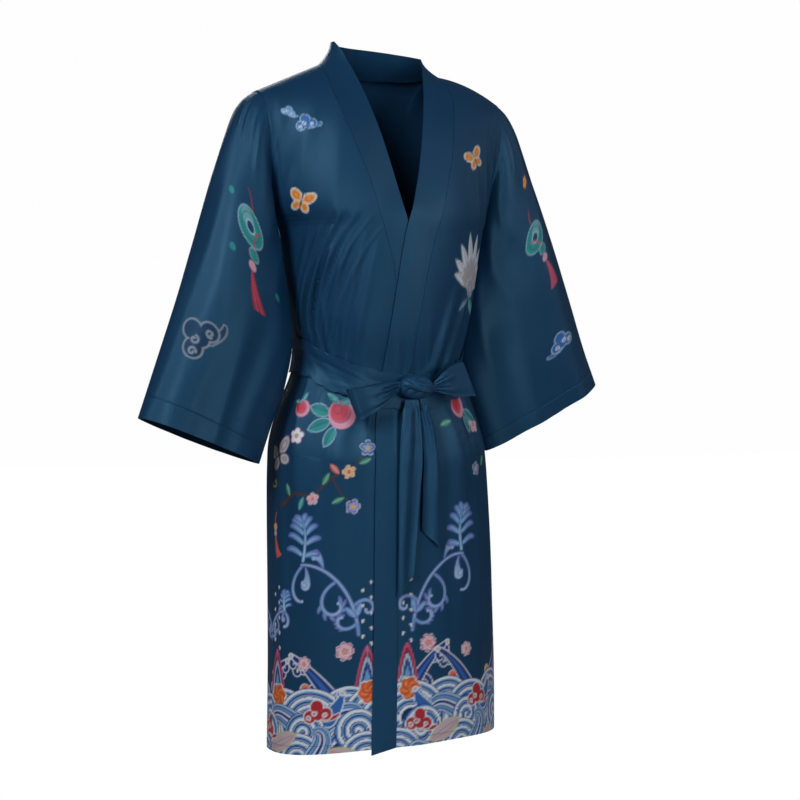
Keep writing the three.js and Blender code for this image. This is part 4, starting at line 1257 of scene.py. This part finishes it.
def sleeve_grid(which, lines, reaches, around):
    """Points of a sleeve, one ring for each reach from the armhole (0) to the cuff (1)"""
    side = -1 if which == "right" else 1
    angle = np.linspace(0, 2 * np.pi, around, endpoint=False)[None, :]
    reach = reaches[:, None]
    angle, reach = np.broadcast_arrays(angle, reach)

    def arm(reach):
        lean = (1 + np.cos(angle)) / 2
        deep = np.where(np.sin(angle) > 0, read(SLEEVE_DEPTH, 1, reach),
                        read(SLEEVE_DEPTH, 2, reach))
        swing = AHEAD[which] * read(SLEEVE_DEPTH, 3, reach)
        skew = angle + SKEW * np.abs(np.sin(angle)) * smoothstep(reach, 0.05, 0.4)
        return np.stack([lerp(read(lines, 3, reach), read(lines, 1, reach), lean),
                         -swing - deep * np.where(angle < np.pi, np.sin(skew), np.sin(angle)),
                         lerp(read(lines, 4, reach), read(lines, 2, reach), lean)], -1)

    fore = angle <= np.pi
    climb = (np.pi - np.where(fore, angle, 2 * np.pi - angle)) / 2
    up = np.sin(climb) ** np.where(fore, FRONT_RISE, BACK_RISE)
    armhole = np.stack([
        lerp(lines[0, 3] - 2, SHOULDER_HALF, np.sin(climb) ** ARMHOLE_BOW[which]),
        np.where(fore, -ARMHOLE_FORE, ARMHOLE_AFT) * np.sin(2 * climb),
        lerp(ARMPIT, lines[0, 2], up)], -1)
    seated = (armhole - arm(np.zeros(angle.shape))) * (1 - smoothstep(reach, 0, 0.3))[..., None]
    points = arm(reach) + seated
    near_foot = (1 - np.cos(angle)) / 2
    clear = lerp(CLEAR_ABOVE, CLEAR_BELOW, near_foot ** 3) * (1 - smoothstep(reach, 0.1, 0.4))
    points[..., 0] += lerp(-SEATED_DEEP, clear, smoothstep(reach, 0, 0.02))
    points[..., 0] *= side
    degrees = np.degrees(angle)
    height = crease_height(SLEEVE_CREASES[which], degrees, reach)
    for across, along, phase, size in WAVES:
        calm = smoothstep(reach, 0, 0.12) * smoothstep(reach, 0, 0.3)
        wave = np.sin(round(across) * angle + along * SLEEVE_LENGTH * reach + phase)
        height = height + calm * size * 0.8 * wave
    inward = np.maximum(0, -np.cos(angle)) ** 2 * (1 - smoothstep(reach, 0.3, 0.7))
    height = height * (1 - 0.75 * inward)
    return points + grid_normals(points, True, side < 0) * height[..., None]


def sleeve_reaches(count):
    """Rows of a sleeve, with close ones at the line where the cuff's hem is stitched"""
    close = STITCHED + np.linspace(-0.004, 0.004, 9)
    even = np.linspace(0, 1, count - len(close))
    return np.sort(np.concatenate([even, close]))


print("stitched line of the cuff", CUFF_HEM, "mm above its edge")

# %% [markdown]
# ## Print and hem of the sleeves
# The cuff is turned in and stitched along one line, which dents the cloth slightly. A few
# separate motifs are printed on the sleeve: its front shows a stone ring, a tassel and a cloud,
# and its back a branch. Their places count in quarters of the way round.

# %% Sleeves
SLEEVE_ROWS, SLEEVE_AROUND = 277, 300
DENT_DEPTH, DENT_WIDTH = 0.35, 1.1


def sleeve_piece(which, lines):
    side = -1 if which == "right" else 1
    reaches = sleeve_reaches(SLEEVE_ROWS)
    points = sleeve_grid(which, lines, reaches, SLEEVE_AROUND)
    dent = DENT_DEPTH * np.exp(-((reaches - STITCHED) * SLEEVE_LENGTH / DENT_WIDTH) ** 2)
    points = points - grid_normals(points, True, side < 0) * dent[:, None, None]
    ring = np.linalg.norm(np.diff(points, axis=1, append=points[:, :1]), axis=-1)
    around = ring.sum(1).mean()
    across = np.broadcast_to(np.linspace(0, around, SLEEVE_AROUND, endpoint=False), points.shape[:2])
    cloth = Cloth(across, np.broadcast_to(-SLEEVE_LENGTH * reaches[:, None], across.shape))
    quarter = around / 4
    if which == "right":
        charm(cloth, quarter * 0.8, -186, 24, 14)
        for x, y, ink in [(0.45, -170, "teal"), (0.62, -236, "teal"), (1.3, -232, "teal")]:
            ids, u, v = cloth.near(quarter * x, y, 12)
            cloth.lay(ids, np.hypot(u, v) - 5, ink, 0.8)
        tassel(cloth, quarter * 0.9, -252, 78, 16)
        cloud(cloth, quarter * 0.56, -392, 30, 64, "navy", "grey", "grey")
        blossom(cloth, quarter * 1.5, -96, 8, 10, "light", "white", "pale")
    else:
        charm(cloth, quarter * 0.7, -206, 22, -10)
        tassel(cloth, quarter * 0.64, -266, 72, -14, "rose", "teal")
        cloud(cloth, quarter * 0.7, -404, 19, -10, "blue", "pale", "white")
        blossom(cloth, quarter * 0.6, -120, 9, 0, "amber", "red", "orange")
    x = quarter * 3
    line(cloth, [(x - 44, -300), (x - 20, -276), (x + 6, -284), (x + 32, -262)], (2.2, 1), "brown")
    for dx, dy, ink in [(34, -260, "pink"), (4, -280, "blue"), (-30, -284, "amber")]:
        blossom(cloth, x + dx, dy, 9, 12, ink, "rose")
    leaf(cloth, x + 16, -276, 20, 8, 70, "green")
    leaf(cloth, x - 14, -280, 18, 7, -100, "teal")
    cloud(cloth, x, -150, 15, 0, "blue", "pale", "white")
    piece = sheet_object("cloth_sleeve_" + which, "sleeve_" + which, points, 1.3,
                         (around * MM, 0.53), ring=True, flip=side < 0, inks=cloth.ink)
    print(f"sleeve {which}: {around:.0f} mm round on average")
    return piece, points, reaches


sleeve_right, right_points, reaches = sleeve_piece("right", SLEEVE_RIGHT)
sleeve_left, left_points, reaches = sleeve_piece("left", SLEEVE_LEFT)

# %% [markdown]
# ## Belt
# The belt is a long strip of plain satin. It goes round the waist over both fronts, with one
# lengthwise fold, and small creases run towards the knot where it is pulled tight.

# %% Belt round the waist
BELT_LIFT = 2.6
BELT_ROWS, BELT_COLUMNS = 19, 360


def belt_grid():
    level = np.linspace(BELT_FOOT, BELT_TOP, BELT_ROWS)[:, None]
    around = np.linspace(0, 360, BELT_COLUMNS, endpoint=False)[None, :]
    level, around = np.broadcast_arrays(level, around)
    behind = (around > 90) & (around < 270)
    turn = np.where(behind, 180 - around, np.where(around > 180, around - 360, around))
    part = (level - BELT_FOOT) / (BELT_TOP - BELT_FOOT)
    fold = 0.3 - 0.6 * np.exp(-((part - 0.66) / 0.05) ** 2)
    near = np.maximum(0, np.cos(np.radians(around))) ** 3
    pull = sum(size * np.exp(-((part - 0.5 - (at - 0.5) * (1.1 - near)) / 0.055) ** 2)
               for at, size in [(0.16, 1.5), (0.36, 1), (0.56, 0.8), (0.86, 1.6)])
    wave = (0.5 * np.sin(np.radians(around) * 7 + 5 * part)
            + 0.4 * np.sin(np.radians(around) * 17 + 9 * part))
    lift = BELT_LIFT + fold + near * pull + np.maximum(0, wave) * (1 - near)
    front = body("front", turn, level, lift + overlap(turn, level))
    back = body("back", turn, level, lift)
    return np.where(behind[..., None], back, front)


belt_points = belt_grid()
belt_waist = sheet_object("cloth_belt_waist", "belt_waist", belt_points, 1.2,
                          (0.78, 0.052), ring=True)

# %% [markdown]
# ## Knot
# The knot is a wad of cloth wrapped by one turn of the belt. It starts as a rounded form with
# blunt ends. Furrows that follow the wrap are pressed into it, deep in front and shallow above
# and below, where the cloth turns out of sight.

# %% Knot
KNOT_X, KNOT_Z, KNOT_HALF, KNOT_HIGH, KNOT_DEEP, KNOT_CLEAR = 4, -468, 27, 18, 13, 0.4
KNOT_ROWS, KNOT_COLUMNS = 64, 96
BELT_STACK = OVERLAP_LIFT + 2.9
KNOT_Y = float(body("front", 0, -420, BELT_STACK)[1]) - KNOT_DEEP - KNOT_CLEAR


def knot_object():
    lat = np.linspace(-90, 90, KNOT_ROWS + 2)[1:-1, None]
    lon = np.linspace(0, 360, KNOT_COLUMNS, endpoint=False)[None, :]
    lat, lon = [np.radians(a) for a in np.broadcast_arrays(lat, lon)]
    x, y, z = np.cos(lat) * np.cos(lon), np.cos(lat) * np.sin(lon), np.sin(lat)
    front = np.maximum(0, y) ** 0.5 * (1 - z ** 4)
    wrap = 0.52 * x + 0.86 * z - 0.28 * (x + 0.3) ** 2
    band = smoothstep(wrap, -0.42, -0.3) * (1 - smoothstep(wrap, 0.26, 0.38))
    pleats = band * (0.09 * np.abs(np.sin(8 * wrap + 1.4 * x))
                     - 0.04 * np.abs(np.cos(15 * wrap - 2 * x)))
    under = 0.8 * x - 0.6 * z
    gathers = (1 - band) * (0.16 * np.abs(np.sin(7 * under + 1)) - 0.08)
    groove = 1 + front * (0.3 * band - 0.27 + pleats + gathers)
    blunt = x * (1.4 - 0.4 * x * x)
    points = np.stack([
        KNOT_X + KNOT_HALF * blunt * (1 - 0.25 * z * z),
        KNOT_Y - KNOT_DEEP * y * np.where(y > 0, groove, 1),
        KNOT_Z + KNOT_HIGH * z * groove], -1)
    faces = [grid_faces(0, KNOT_ROWS, KNOT_COLUMNS, True, OUTER_PLACE, True)]
    ids = np.arange(KNOT_ROWS * KNOT_COLUMNS).reshape(KNOT_ROWS, KNOT_COLUMNS)
    turn = np.linspace(0, 2 * np.pi, KNOT_COLUMNS, endpoint=False)
    for cap, at in [(ids[0], 0.88), (ids[-1][::-1], 0.94)]:
        disc = np.stack([at + 0.02 * np.cos(turn), 0.9 + 0.02 * np.sin(turn)], -1)
        faces.append((cap[None, :], disc[None, :]))
    colours = with_alpha(np.tile(PLAIN_INK, (ids.size, 1)))
    thing = make_mesh("cloth_belt_knot", points.reshape(-1, 3), faces, [0, 0, 0], colours,
                      (0.13, 0.06))
    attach(thing, "root")
    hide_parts("belt_knot")
    print("knot:", ids.size, "points")
    return thing


belt_knot = knot_object()

# %% [markdown]
# ## Loops of the bow
# Each loop is a strip that leaves the knot in front, turns round and comes back behind it. The
# strip is squeezed in the knot, so deep pleats start there and fade out towards the bend. A row
# of the tables gives, at a part of the way out, the distance from the knot's middle, the upper
# and the lower edge and how far the loop comes forward.

# %% Loops
LOOP_RIGHT = np.array([(0, 23.5, -461, -474, 0), (0.3, 46, -463, -490, 0),
                       (0.6, 65, -467, -501, 0), (1, 90, -472, -514, 3)])
LOOP_LEFT = np.array([(0, 31.5, -461, -474, 0), (0.3, 46, -448, -478, -2),
                      (0.6, 64, -438, -482, 1), (1, 88, -432, -481, 5)])
LOOP_ROUND = 8
STRAIGHT_ROWS, BEND_ROWS, LOOP_COLUMNS = 46, 29, 22


def loop_grid(side, rows, slant):
    straight = np.linspace(0, 1, STRAIGHT_ROWS)
    none, whole = np.zeros(STRAIGHT_ROWS), np.ones(STRAIGHT_ROWS)
    bend = np.radians(np.linspace(90, -90, BEND_ROWS + 2)[1:-1])
    away = np.concatenate([straight, np.ones(BEND_ROWS), straight[::-1]])[:, None]
    deep = np.concatenate([whole, np.sin(bend), -whole])[:, None]
    out = np.concatenate([none, np.cos(bend), none])[:, None]
    m = np.linspace(0, 1, LOOP_COLUMNS)[None, :]
    open_by = lerp(0.35, 1, np.sin(away * 2.2)) * LOOP_ROUND * (0.75 + 0.5 * m)
    fan = [(0.16, 0.10, 2.4, 0.75), (0.42, -0.06, 3.0, 0.55), (0.62, 0.05, 2.2, 0.85),
           (0.86, -0.12, 2.6, 0.6)]
    pleat = sum(size * np.exp(-((m - at - drift * away) / (0.035 + 0.07 * away)) ** 2)
                * (1 - smoothstep(away, 0.25, reach)) for at, drift, size, reach in fan)
    pleat = (pleat - 1.1) * smoothstep(away, 0, 0.1) - 0.9 * np.exp(-((m - 0.08) / 0.1) ** 2)
    x = read(rows, 1, away) + out * LOOP_ROUND + slant * away * (2 * m - 1)
    y = KNOT_Y + read(rows, 4, away) - deep * (open_by + pleat)
    z = lerp(read(rows, 3, away), read(rows, 2, away), m)
    return np.stack(np.broadcast_arrays(side * x, y, z), -1)


loop_right_points = loop_grid(-1, LOOP_RIGHT, 9)
loop_left_points = loop_grid(1, LOOP_LEFT, -11)
bow_loop_right = sheet_object("cloth_bow_loop_right", "bow_loop_right",
                              loop_right_points, 1, (0.04, 0.17))
bow_loop_left = sheet_object("cloth_bow_loop_left", "bow_loop_left",
                             loop_left_points, 1, (0.04, 0.17), flip=True)

# %% [markdown]
# ## Hanging ends
# Both ends of the belt hang from the knot over the upper front, and their lower edges are cut
# at a slant. They start narrow, where the knot squeezes them, then open out, with soft pleats
# that run down from the knot and never quite vanish.

# %% Hanging ends
TAIL_LONG = np.array([(-434.2, -12, 8), (-500, -25, 10), (-600, -27, 6), (-780, -29, -9)])
TAIL_SHORT = np.array([(-433, 10.5, 20), (-500, 13, 33), (-600, 11, 37), (-700, 9, 39)])
TAIL_LIFT, TAIL_STAND = 6.6, 8
TAIL_ROWS, TAIL_COLUMNS = 151, 25


def tail_grid(edges, end_left, end_right, wave, seed):
    part = np.linspace(1, 0, TAIL_ROWS)[:, None]
    m = np.linspace(0, 1, TAIL_COLUMNS)[None, :]
    part, m = np.broadcast_arrays(part, m)
    level = lerp(edges[0, 0], lerp(end_left, end_right, m), part)
    turn = turn_at("front", lerp(read(edges, 1, level), read(edges, 2, level), m), level)
    stand = TAIL_STAND * (1 - smoothstep(part, 0, 0.35))
    ripple = wave * np.sin(2 * np.pi * m) * smoothstep(part, 0, 0.1)
    chance = np.random.default_rng(seed)
    for _ in range(4):
        middle, width = chance.uniform(0.15, 0.85), chance.uniform(0.05, 0.1)
        drift = chance.uniform(-0.2, 0.2)
        ridge = np.exp(-((m - middle - drift * part) / width) ** 2)
        high, power = chance.uniform(0.7, 1.5), chance.uniform(0.6, 1.6)
        ripple = ripple + high * ridge * (1 - part) ** power * smoothstep(part, 0, 0.06)
    ripple = ripple + 0.5 * np.sin(14 * part + 3 * m + seed) * part
    return body("front", turn, level, OVERLAP_LIFT + TAIL_LIFT + ripple + stand)


tail_long_points = tail_grid(TAIL_LONG, -771, -738, 2, 4)
tail_short_points = tail_grid(TAIL_SHORT, -674, -700, -2, 9)
belt_tail_long = sheet_object("cloth_belt_tail_long", "belt_tail_long",
                              tail_long_points, 1, (0.037, 0.33))
belt_tail_short = sheet_object("cloth_belt_tail_short", "belt_tail_short",
                               tail_short_points, 1, (0.03, 0.26))

# %% [markdown]
# ## Stitches
# Cuffs and hem are turned in and sewn with one row of small stitches. Each stitch is a short
# grain of thread lying on its row, six-sided and thinner at both ends. Copying a modelled
# stitch with a modifier would work as well, but writing them all as one mesh gives exact places.

# %% Stitches
SIDES = 6
GRAIN = [(0, 0.35), (0.2, 1), (0.8, 1), (1, 0.35)]
PER_STITCH = SIDES * len(GRAIN)


def grain_map(faces):
    """A small square of the map for each stitch"""
    number, local = faces // PER_STITCH, faces % PER_STITCH
    row, column = number // 24, number % 24
    return np.stack([0.02 + (column + 0.15 + 0.7 * (local % SIDES) / SIDES) / 25,
                     0.02 + (row + 0.15 + 0.7 * (local // SIDES) / len(GRAIN)) / 25], -1)


def stitches(name, path, normal, length=2.4, gap=0.9, radius=0.3):
    """A row of thread along a line of points on the cloth. GRAIN gives a stitch's thickness"""
    run = np.concatenate([[0], np.cumsum(np.linalg.norm(np.diff(path, axis=0), axis=1))])
    at = np.arange(0.5, run[-1] - length, length + gap)

    def along(s):
        return np.stack([np.interp(s, run, path[:, k]) for k in range(3)], -1)

    outward_dir = unit(np.stack([np.interp(at, run, normal[:, k]) for k in range(3)], -1))
    start, end = along(at), along(at + length)
    way = unit(end - start)
    side = unit(np.cross(way, outward_dir))
    turn = np.radians(np.arange(0, 360, 360 // SIDES))[None, :, None]
    round_it = np.cos(turn) * side[:, None] + np.sin(turn) * outward_dir[:, None]
    rings = []
    for part, thick in GRAIN:
        centre = lerp(start, end, part) + outward_dir * 0.12
        rings.append(centre[:, None] + radius * thick * round_it)
    vertices = np.stack(rings, 1).reshape(-1, 3)
    base = np.arange(len(at))[:, None] * PER_STITCH
    faces = []
    for first in range(0, PER_STITCH - SIDES, SIDES):
        for j in range(SIDES):
            after = (j + 1) % SIDES
            faces.append(base + first + np.array([SIDES + j, SIDES + after, after, j]))
    quads = np.concatenate(faces)
    ring = np.arange(SIDES)
    caps = np.concatenate([base + ring, base + PER_STITCH - 1 - ring])
    whole = [(quads, grain_map(quads)), (caps, grain_map(caps))]
    colours = with_alpha(np.tile(INK["navy"], (len(vertices), 1)))
    thing = make_mesh(name, vertices, whole, [0, 0], colours, (0.01, 0.01))
    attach(thing, "root")
    print(f"{name}: {len(at)} stitches")
    return thing


def cuff_row(points, reaches, flip):
    row = int(np.argmin(abs(reaches - STITCHED)))
    normal = grid_normals(points, True, flip)[row]
    close = np.concatenate([points[row], points[row][:1]])
    return close, np.concatenate([normal, normal[:1]])


def hem_row(points, levels, flip, height=12):
    row = int(np.argmin(abs(levels - HEM - height)))
    return points[row], grid_normals(points, False, flip)[row]


cuff_stitches_right = stitches("cuff_stitches_right", *cuff_row(right_points, reaches, True))
cuff_stitches_left = stitches("cuff_stitches_left", *cuff_row(left_points, reaches, False))
hem_stitches_under = stitches("hem_stitches_under", *hem_row(under_points, FRONT_ROWS, True))
hem_stitches_over = stitches("hem_stitches_over", *hem_row(over_points, FRONT_ROWS, False))
hem_stitches_back = stitches("hem_stitches_back", *hem_row(back_points, BACK_ROWS, True))

# %% [markdown]
# ## Weave and wear, as node groups
# Satin has long floating threads, so its weave is a fine slanted line pattern rather than a
# grid. Both kinds of satin use it, so it is one node group with its own inputs. A second group
# gives the slight unevenness that wear and pressing leave in the shine.

# %% Node groups
def node_group(name, inputs, outputs):
    group = bpy.data.node_groups.new(name, "ShaderNodeTree")
    for label, kind, value in inputs:
        socket = group.interface.new_socket(label, in_out="INPUT", socket_type=kind)
        if value is not None:
            socket.default_value = value
    for label, kind in outputs:
        group.interface.new_socket(label, in_out="OUTPUT", socket_type=kind)
    return group, group.nodes.new("NodeGroupInput"), group.nodes.new("NodeGroupOutput")


def math_node(tree, kind, one, two=None):
    node = tree.nodes.new("ShaderNodeMath")
    node.operation = kind
    for socket, value in zip(node.inputs, (one, two)):
        if value is None:
            continue
        if isinstance(value, bpy.types.NodeSocket):
            tree.links.new(value, socket)
        else:
            socket.default_value = value
    return node.outputs[0]


WHOLE_TURN, BINDING_TURN = 6.2832, 1.2566
weave, given, result = node_group(
    "satin weave", [("Threads per metre", "NodeSocketFloat", 1400.0),
                    ("Slant", "NodeSocketFloat", 0.35)],
    [("Height", "NodeSocketFloat"), ("Shade", "NodeSocketFloat")])
place = weave.nodes.new("ShaderNodeUVMap")
place.uv_map = "Cloth"
axes = weave.nodes.new("ShaderNodeSeparateXYZ")
weave.links.new(place.outputs["UV"], axes.inputs[0])
slanted = math_node(weave, "ADD", axes.outputs["X"],
                    math_node(weave, "MULTIPLY", axes.outputs["Y"], given.outputs["Slant"]))


def ripple_of(place, turn):
    """A sine along a place on the cloth, one wave for each thread"""
    count = math_node(weave, "MULTIPLY", place, given.outputs["Threads per metre"])
    return math_node(weave, "SINE", math_node(weave, "MULTIPLY", count, turn))


threads = ripple_of(slanted, WHOLE_TURN)
binding = ripple_of(axes.outputs["Y"], BINDING_TURN)
height = math_node(weave, "ADD", threads, math_node(weave, "MULTIPLY", binding, 0.4))
weave.links.new(height, result.inputs["Height"])
weave.links.new(math_node(weave, "ADD", math_node(weave, "MULTIPLY", height, 0.03), 0.985),
                result.inputs["Shade"])

wear, given, result = node_group(
    "pressing and wear", [("Scale", "NodeSocketFloat", 9.0), ("Low", "NodeSocketFloat", 0.34),
                          ("High", "NodeSocketFloat", 0.46)],
    [("Roughness", "NodeSocketFloat"), ("Patches", "NodeSocketFloat")])
where = wear.nodes.new("ShaderNodeTexCoord")
cloudy = wear.nodes.new("ShaderNodeTexNoise")
cloudy.inputs["Detail"].default_value = 4.0
wear.links.new(where.outputs["Object"], cloudy.inputs["Vector"])
wear.links.new(given.outputs["Scale"], cloudy.inputs["Scale"])
spread = wear.nodes.new("ShaderNodeMapRange")
spread.inputs["From Min"].default_value = 0.3
spread.inputs["From Max"].default_value = 0.7
wear.links.new(cloudy.outputs["Fac"], spread.inputs["Value"])
wear.links.new(given.outputs["Low"], spread.inputs["To Min"])
wear.links.new(given.outputs["High"], spread.inputs["To Max"])
wear.links.new(spread.outputs["Result"], result.inputs["Roughness"])
wear.links.new(cloudy.outputs["Fac"], result.inputs["Patches"])
print("node groups:", len(bpy.data.node_groups))

# %% [markdown]
# ## Satin
# The right side takes its colour from the print, shaded a little by the weave. It is fairly
# smooth, with a bluish reflection, because dyed silk-like threads colour what they reflect.
# The wrong side has the same dye but is dull and a little paler.

# %% Satin materials
def satin(name, low, high, bump, sheen, gloss, shade=1.0):
    material = bpy.data.materials.new(name)
    material.use_nodes = True
    tree = material.node_tree
    shader = tree.nodes["Principled BSDF"]
    ink = tree.nodes.new("ShaderNodeAttribute")
    ink.attribute_name = "print"
    woven = tree.nodes.new("ShaderNodeGroup")
    woven.node_tree = weave
    used = tree.nodes.new("ShaderNodeGroup")
    used.node_tree = wear
    used.inputs["Low"].default_value = low
    used.inputs["High"].default_value = high
    tint = tree.nodes.new("ShaderNodeMapRange")
    tint.inputs["To Min"].default_value = 0.92 * shade
    tint.inputs["To Max"].default_value = 1.06 * shade
    tree.links.new(used.outputs["Patches"], tint.inputs["Value"])
    factor = math_node(tree, "MULTIPLY", tint.outputs["Result"], woven.outputs["Shade"])
    dyed = tree.nodes.new("ShaderNodeVectorMath")
    dyed.operation = "SCALE"
    tree.links.new(ink.outputs["Color"], dyed.inputs[0])
    tree.links.new(factor, dyed.inputs["Scale"])
    tree.links.new(dyed.outputs["Vector"], shader.inputs["Base Color"])
    tree.links.new(used.outputs["Roughness"], shader.inputs["Roughness"])
    raised = tree.nodes.new("ShaderNodeBump")
    raised.inputs["Strength"].default_value = bump
    raised.inputs["Distance"].default_value = 0.0002
    tree.links.new(woven.outputs["Height"], raised.inputs["Height"])
    tree.links.new(raised.outputs["Normal"], shader.inputs["Normal"])
    shader.inputs["Specular IOR Level"].default_value = gloss
    shader.inputs["Specular Tint"].default_value = (0.28, 0.7, 1.0, 1.0)
    shader.inputs["Sheen Weight"].default_value = sheen
    shader.inputs["Sheen Roughness"].default_value = 0.4
    shader.inputs["Sheen Tint"].default_value = (0.45, 0.65, 0.9, 1.0)
    return material


printed_satin = satin("printed_satin", 0.37, 0.46, 0.25, 0.02, 0.66)
plain_satin = satin("plain_satin", 0.35, 0.44, 0.25, 0.02, 0.7)
wrong_side = satin("satin_wrong_side", 0.62, 0.72, 0.4, 0.12, 0.3, 0.9)
thread = satin("sewing_thread", 0.5, 0.6, 0.1, 0.2, 0.4)
for thing, material in [
    (front_under, printed_satin), (front_over, printed_satin), (back, printed_satin),
    (sleeve_right, printed_satin), (sleeve_left, printed_satin), (neckband_under, plain_satin),
    (neckband_over, plain_satin), (belt_waist, plain_satin), (bow_loop_right, plain_satin),
    (bow_loop_left, plain_satin), (belt_tail_long, plain_satin), (belt_tail_short, plain_satin),
]:
    thing.data.materials.append(material)
    thing.data.materials.append(wrong_side)
belt_knot.data.materials.append(plain_satin)
for thing in (cuff_stitches_right, cuff_stitches_left, hem_stitches_under, hem_stitches_over,
              hem_stitches_back):
    thing.data.materials.append(thread)
print("materials:", len(bpy.data.materials))

# %% [markdown]
# ## How each sheet was cut
# Every sheet prints the size that it had on the cutting table: width, length, and the area that is
# left between its curved edges. The numbers are measured on the finished grids, along the folds, as a
# tape measure would.

# %% Cuts
def cut(points, ring=False):
    """Size of a sheet laid flat, in metres: its widest row, its longest column and its area"""
    closed = np.concatenate([points, points[:, :1]], 1) if ring else points
    wide = np.linalg.norm(np.diff(closed, axis=1), axis=-1).sum(1).max()
    tall = np.linalg.norm(np.diff(points, axis=0), axis=-1).sum(0).max()
    return {"flat": (float(wide * MM), float(tall * MM)), "area": float(cloth_area(points, ring))}


SHEETS = [
    (back, back_points, False, "hung", [], [hem_stitches_back]),
    (front_under, under_points, False, "hung", ["back"], [hem_stitches_under]),
    (front_over, over_points, False, "hung", ["back"], [hem_stitches_over]),
    (neckband_under, band_under_points, False, "hung", ["front_under", "back"], []),
    (neckband_over, band_over_points, False, "hung", ["front_over", "back"], []),
    (sleeve_right, right_points, True, "hung", ["front_under", "back"], [cuff_stitches_right]),
    (sleeve_left, left_points, True, "hung", ["front_over", "back"], [cuff_stitches_left]),
    (belt_waist, belt_points, True, "stretched", ["front_over", "back"], [belt_knot]),
    (bow_loop_right, loop_right_points, False, "folded", ["belt_knot"], []),
    (bow_loop_left, loop_left_points, False, "folded", ["belt_knot"], []),
    (belt_tail_long, tail_long_points, False, "hung", ["belt_knot"], []),
    (belt_tail_short, tail_short_points, False, "hung", ["belt_knot"], []),
]
for piece, points, ring, held, rests_on, extra in SHEETS:
    size = cut(points, ring)
    print(piece.name, [round(part, 3) for part in size["flat"]], round(size["area"], 4), "m2")
print("sheets declared:", len(SHEETS))

# %% [markdown]
# ## Light and floor
# A pale floor far below the hem and a pale world give the plain studio surround. Large soft
# lamps at both sides draw the broad, gentle highlights by which one knows satin. The camera
# sees floor and world as white, while they light the cloth only a little.

# %% Light and floor
def area_lamp(name, place, aim, size, power):
    data = bpy.data.lights.new(name, "AREA")
    data.shape = "RECTANGLE"
    data.size, data.size_y = size
    data.energy = power
    lamp = bpy.data.objects.new(name, data)
    lamp.location = place
    away = np.array(place) - np.array(aim)
    flat = np.hypot(away[0], away[1])
    lamp.rotation_euler = (np.arctan2(flat, away[2]), 0, np.arctan2(away[1], away[0]) + np.pi / 2)
    bpy.context.scene.collection.objects.link(lamp)


area_lamp("key_lamp", (-3.2, -1.9, 2.0), (0, 0, -0.5), (1.0, 2.2), 104)
area_lamp("front_lamp", (0.5, -3.5, 0.2), (0, 0, -0.5), (0.9, 2.0), 34)
area_lamp("side_lamp", (2.8, -1.2, 0.9), (0, 0, -0.5), (0.7, 2.2), 9)
area_lamp("back_lamp", (0.8, 3.0, 1.2), (0, 0, -0.4), (1.4, 2.2), 36)


def seen_as_white(tree, surface, strength):
    """The camera sees a plain bright white, while the cloth is lit by the softer surface"""
    bright = tree.nodes.new("ShaderNodeEmission")
    bright.inputs["Strength"].default_value = strength
    path = tree.nodes.new("ShaderNodeLightPath")
    mixed = tree.nodes.new("ShaderNodeMixShader")
    tree.links.new(path.outputs["Is Camera Ray"], mixed.inputs["Fac"])
    tree.links.new(surface, mixed.inputs[1])
    tree.links.new(bright.outputs[0], mixed.inputs[2])
    return mixed.outputs[0]


FLOOR_HALF, FLOOR_Z = 20, -1.45
floor_mesh = bpy.data.meshes.new("floor")
floor_mesh.from_pydata([(x * FLOOR_HALF, y * FLOOR_HALF, FLOOR_Z)
                        for x, y in [(-1, -1), (1, -1), (1, 1), (-1, 1)]], [], [(0, 1, 2, 3)])
floor = bpy.data.objects.new("floor", floor_mesh)
bpy.context.scene.collection.objects.link(floor)
pale = bpy.data.materials.new("pale_floor")
pale.use_nodes = True
shader = pale.node_tree.nodes["Principled BSDF"]
shader.inputs["Base Color"].default_value = (0.35, 0.35, 0.35, 1)
shader.inputs["Roughness"].default_value = 0.9
seen = seen_as_white(pale.node_tree, shader.outputs[0], 1)
pale.node_tree.links.new(seen, pale.node_tree.nodes["Material Output"].inputs["Surface"])
floor_mesh.materials.append(pale)
world = bpy.data.worlds.new("studio")
bpy.context.scene.world = world
world.use_nodes = True
sky = world.node_tree.nodes["Background"]
sky.inputs["Color"].default_value = (1, 1, 1, 1)
path = world.node_tree.nodes.new("ShaderNodeLightPath")
WORLD_ON_CLOTH, WORLD_SEEN_MORE = 0.048, 0.94
level = math_node(world.node_tree, "ADD", WORLD_ON_CLOTH, math_node(
    world.node_tree, "MULTIPLY", path.outputs["Is Camera Ray"], WORLD_SEEN_MORE))
world.node_tree.links.new(level, sky.inputs["Strength"])
bpy.context.scene.view_settings.view_transform = "Standard"
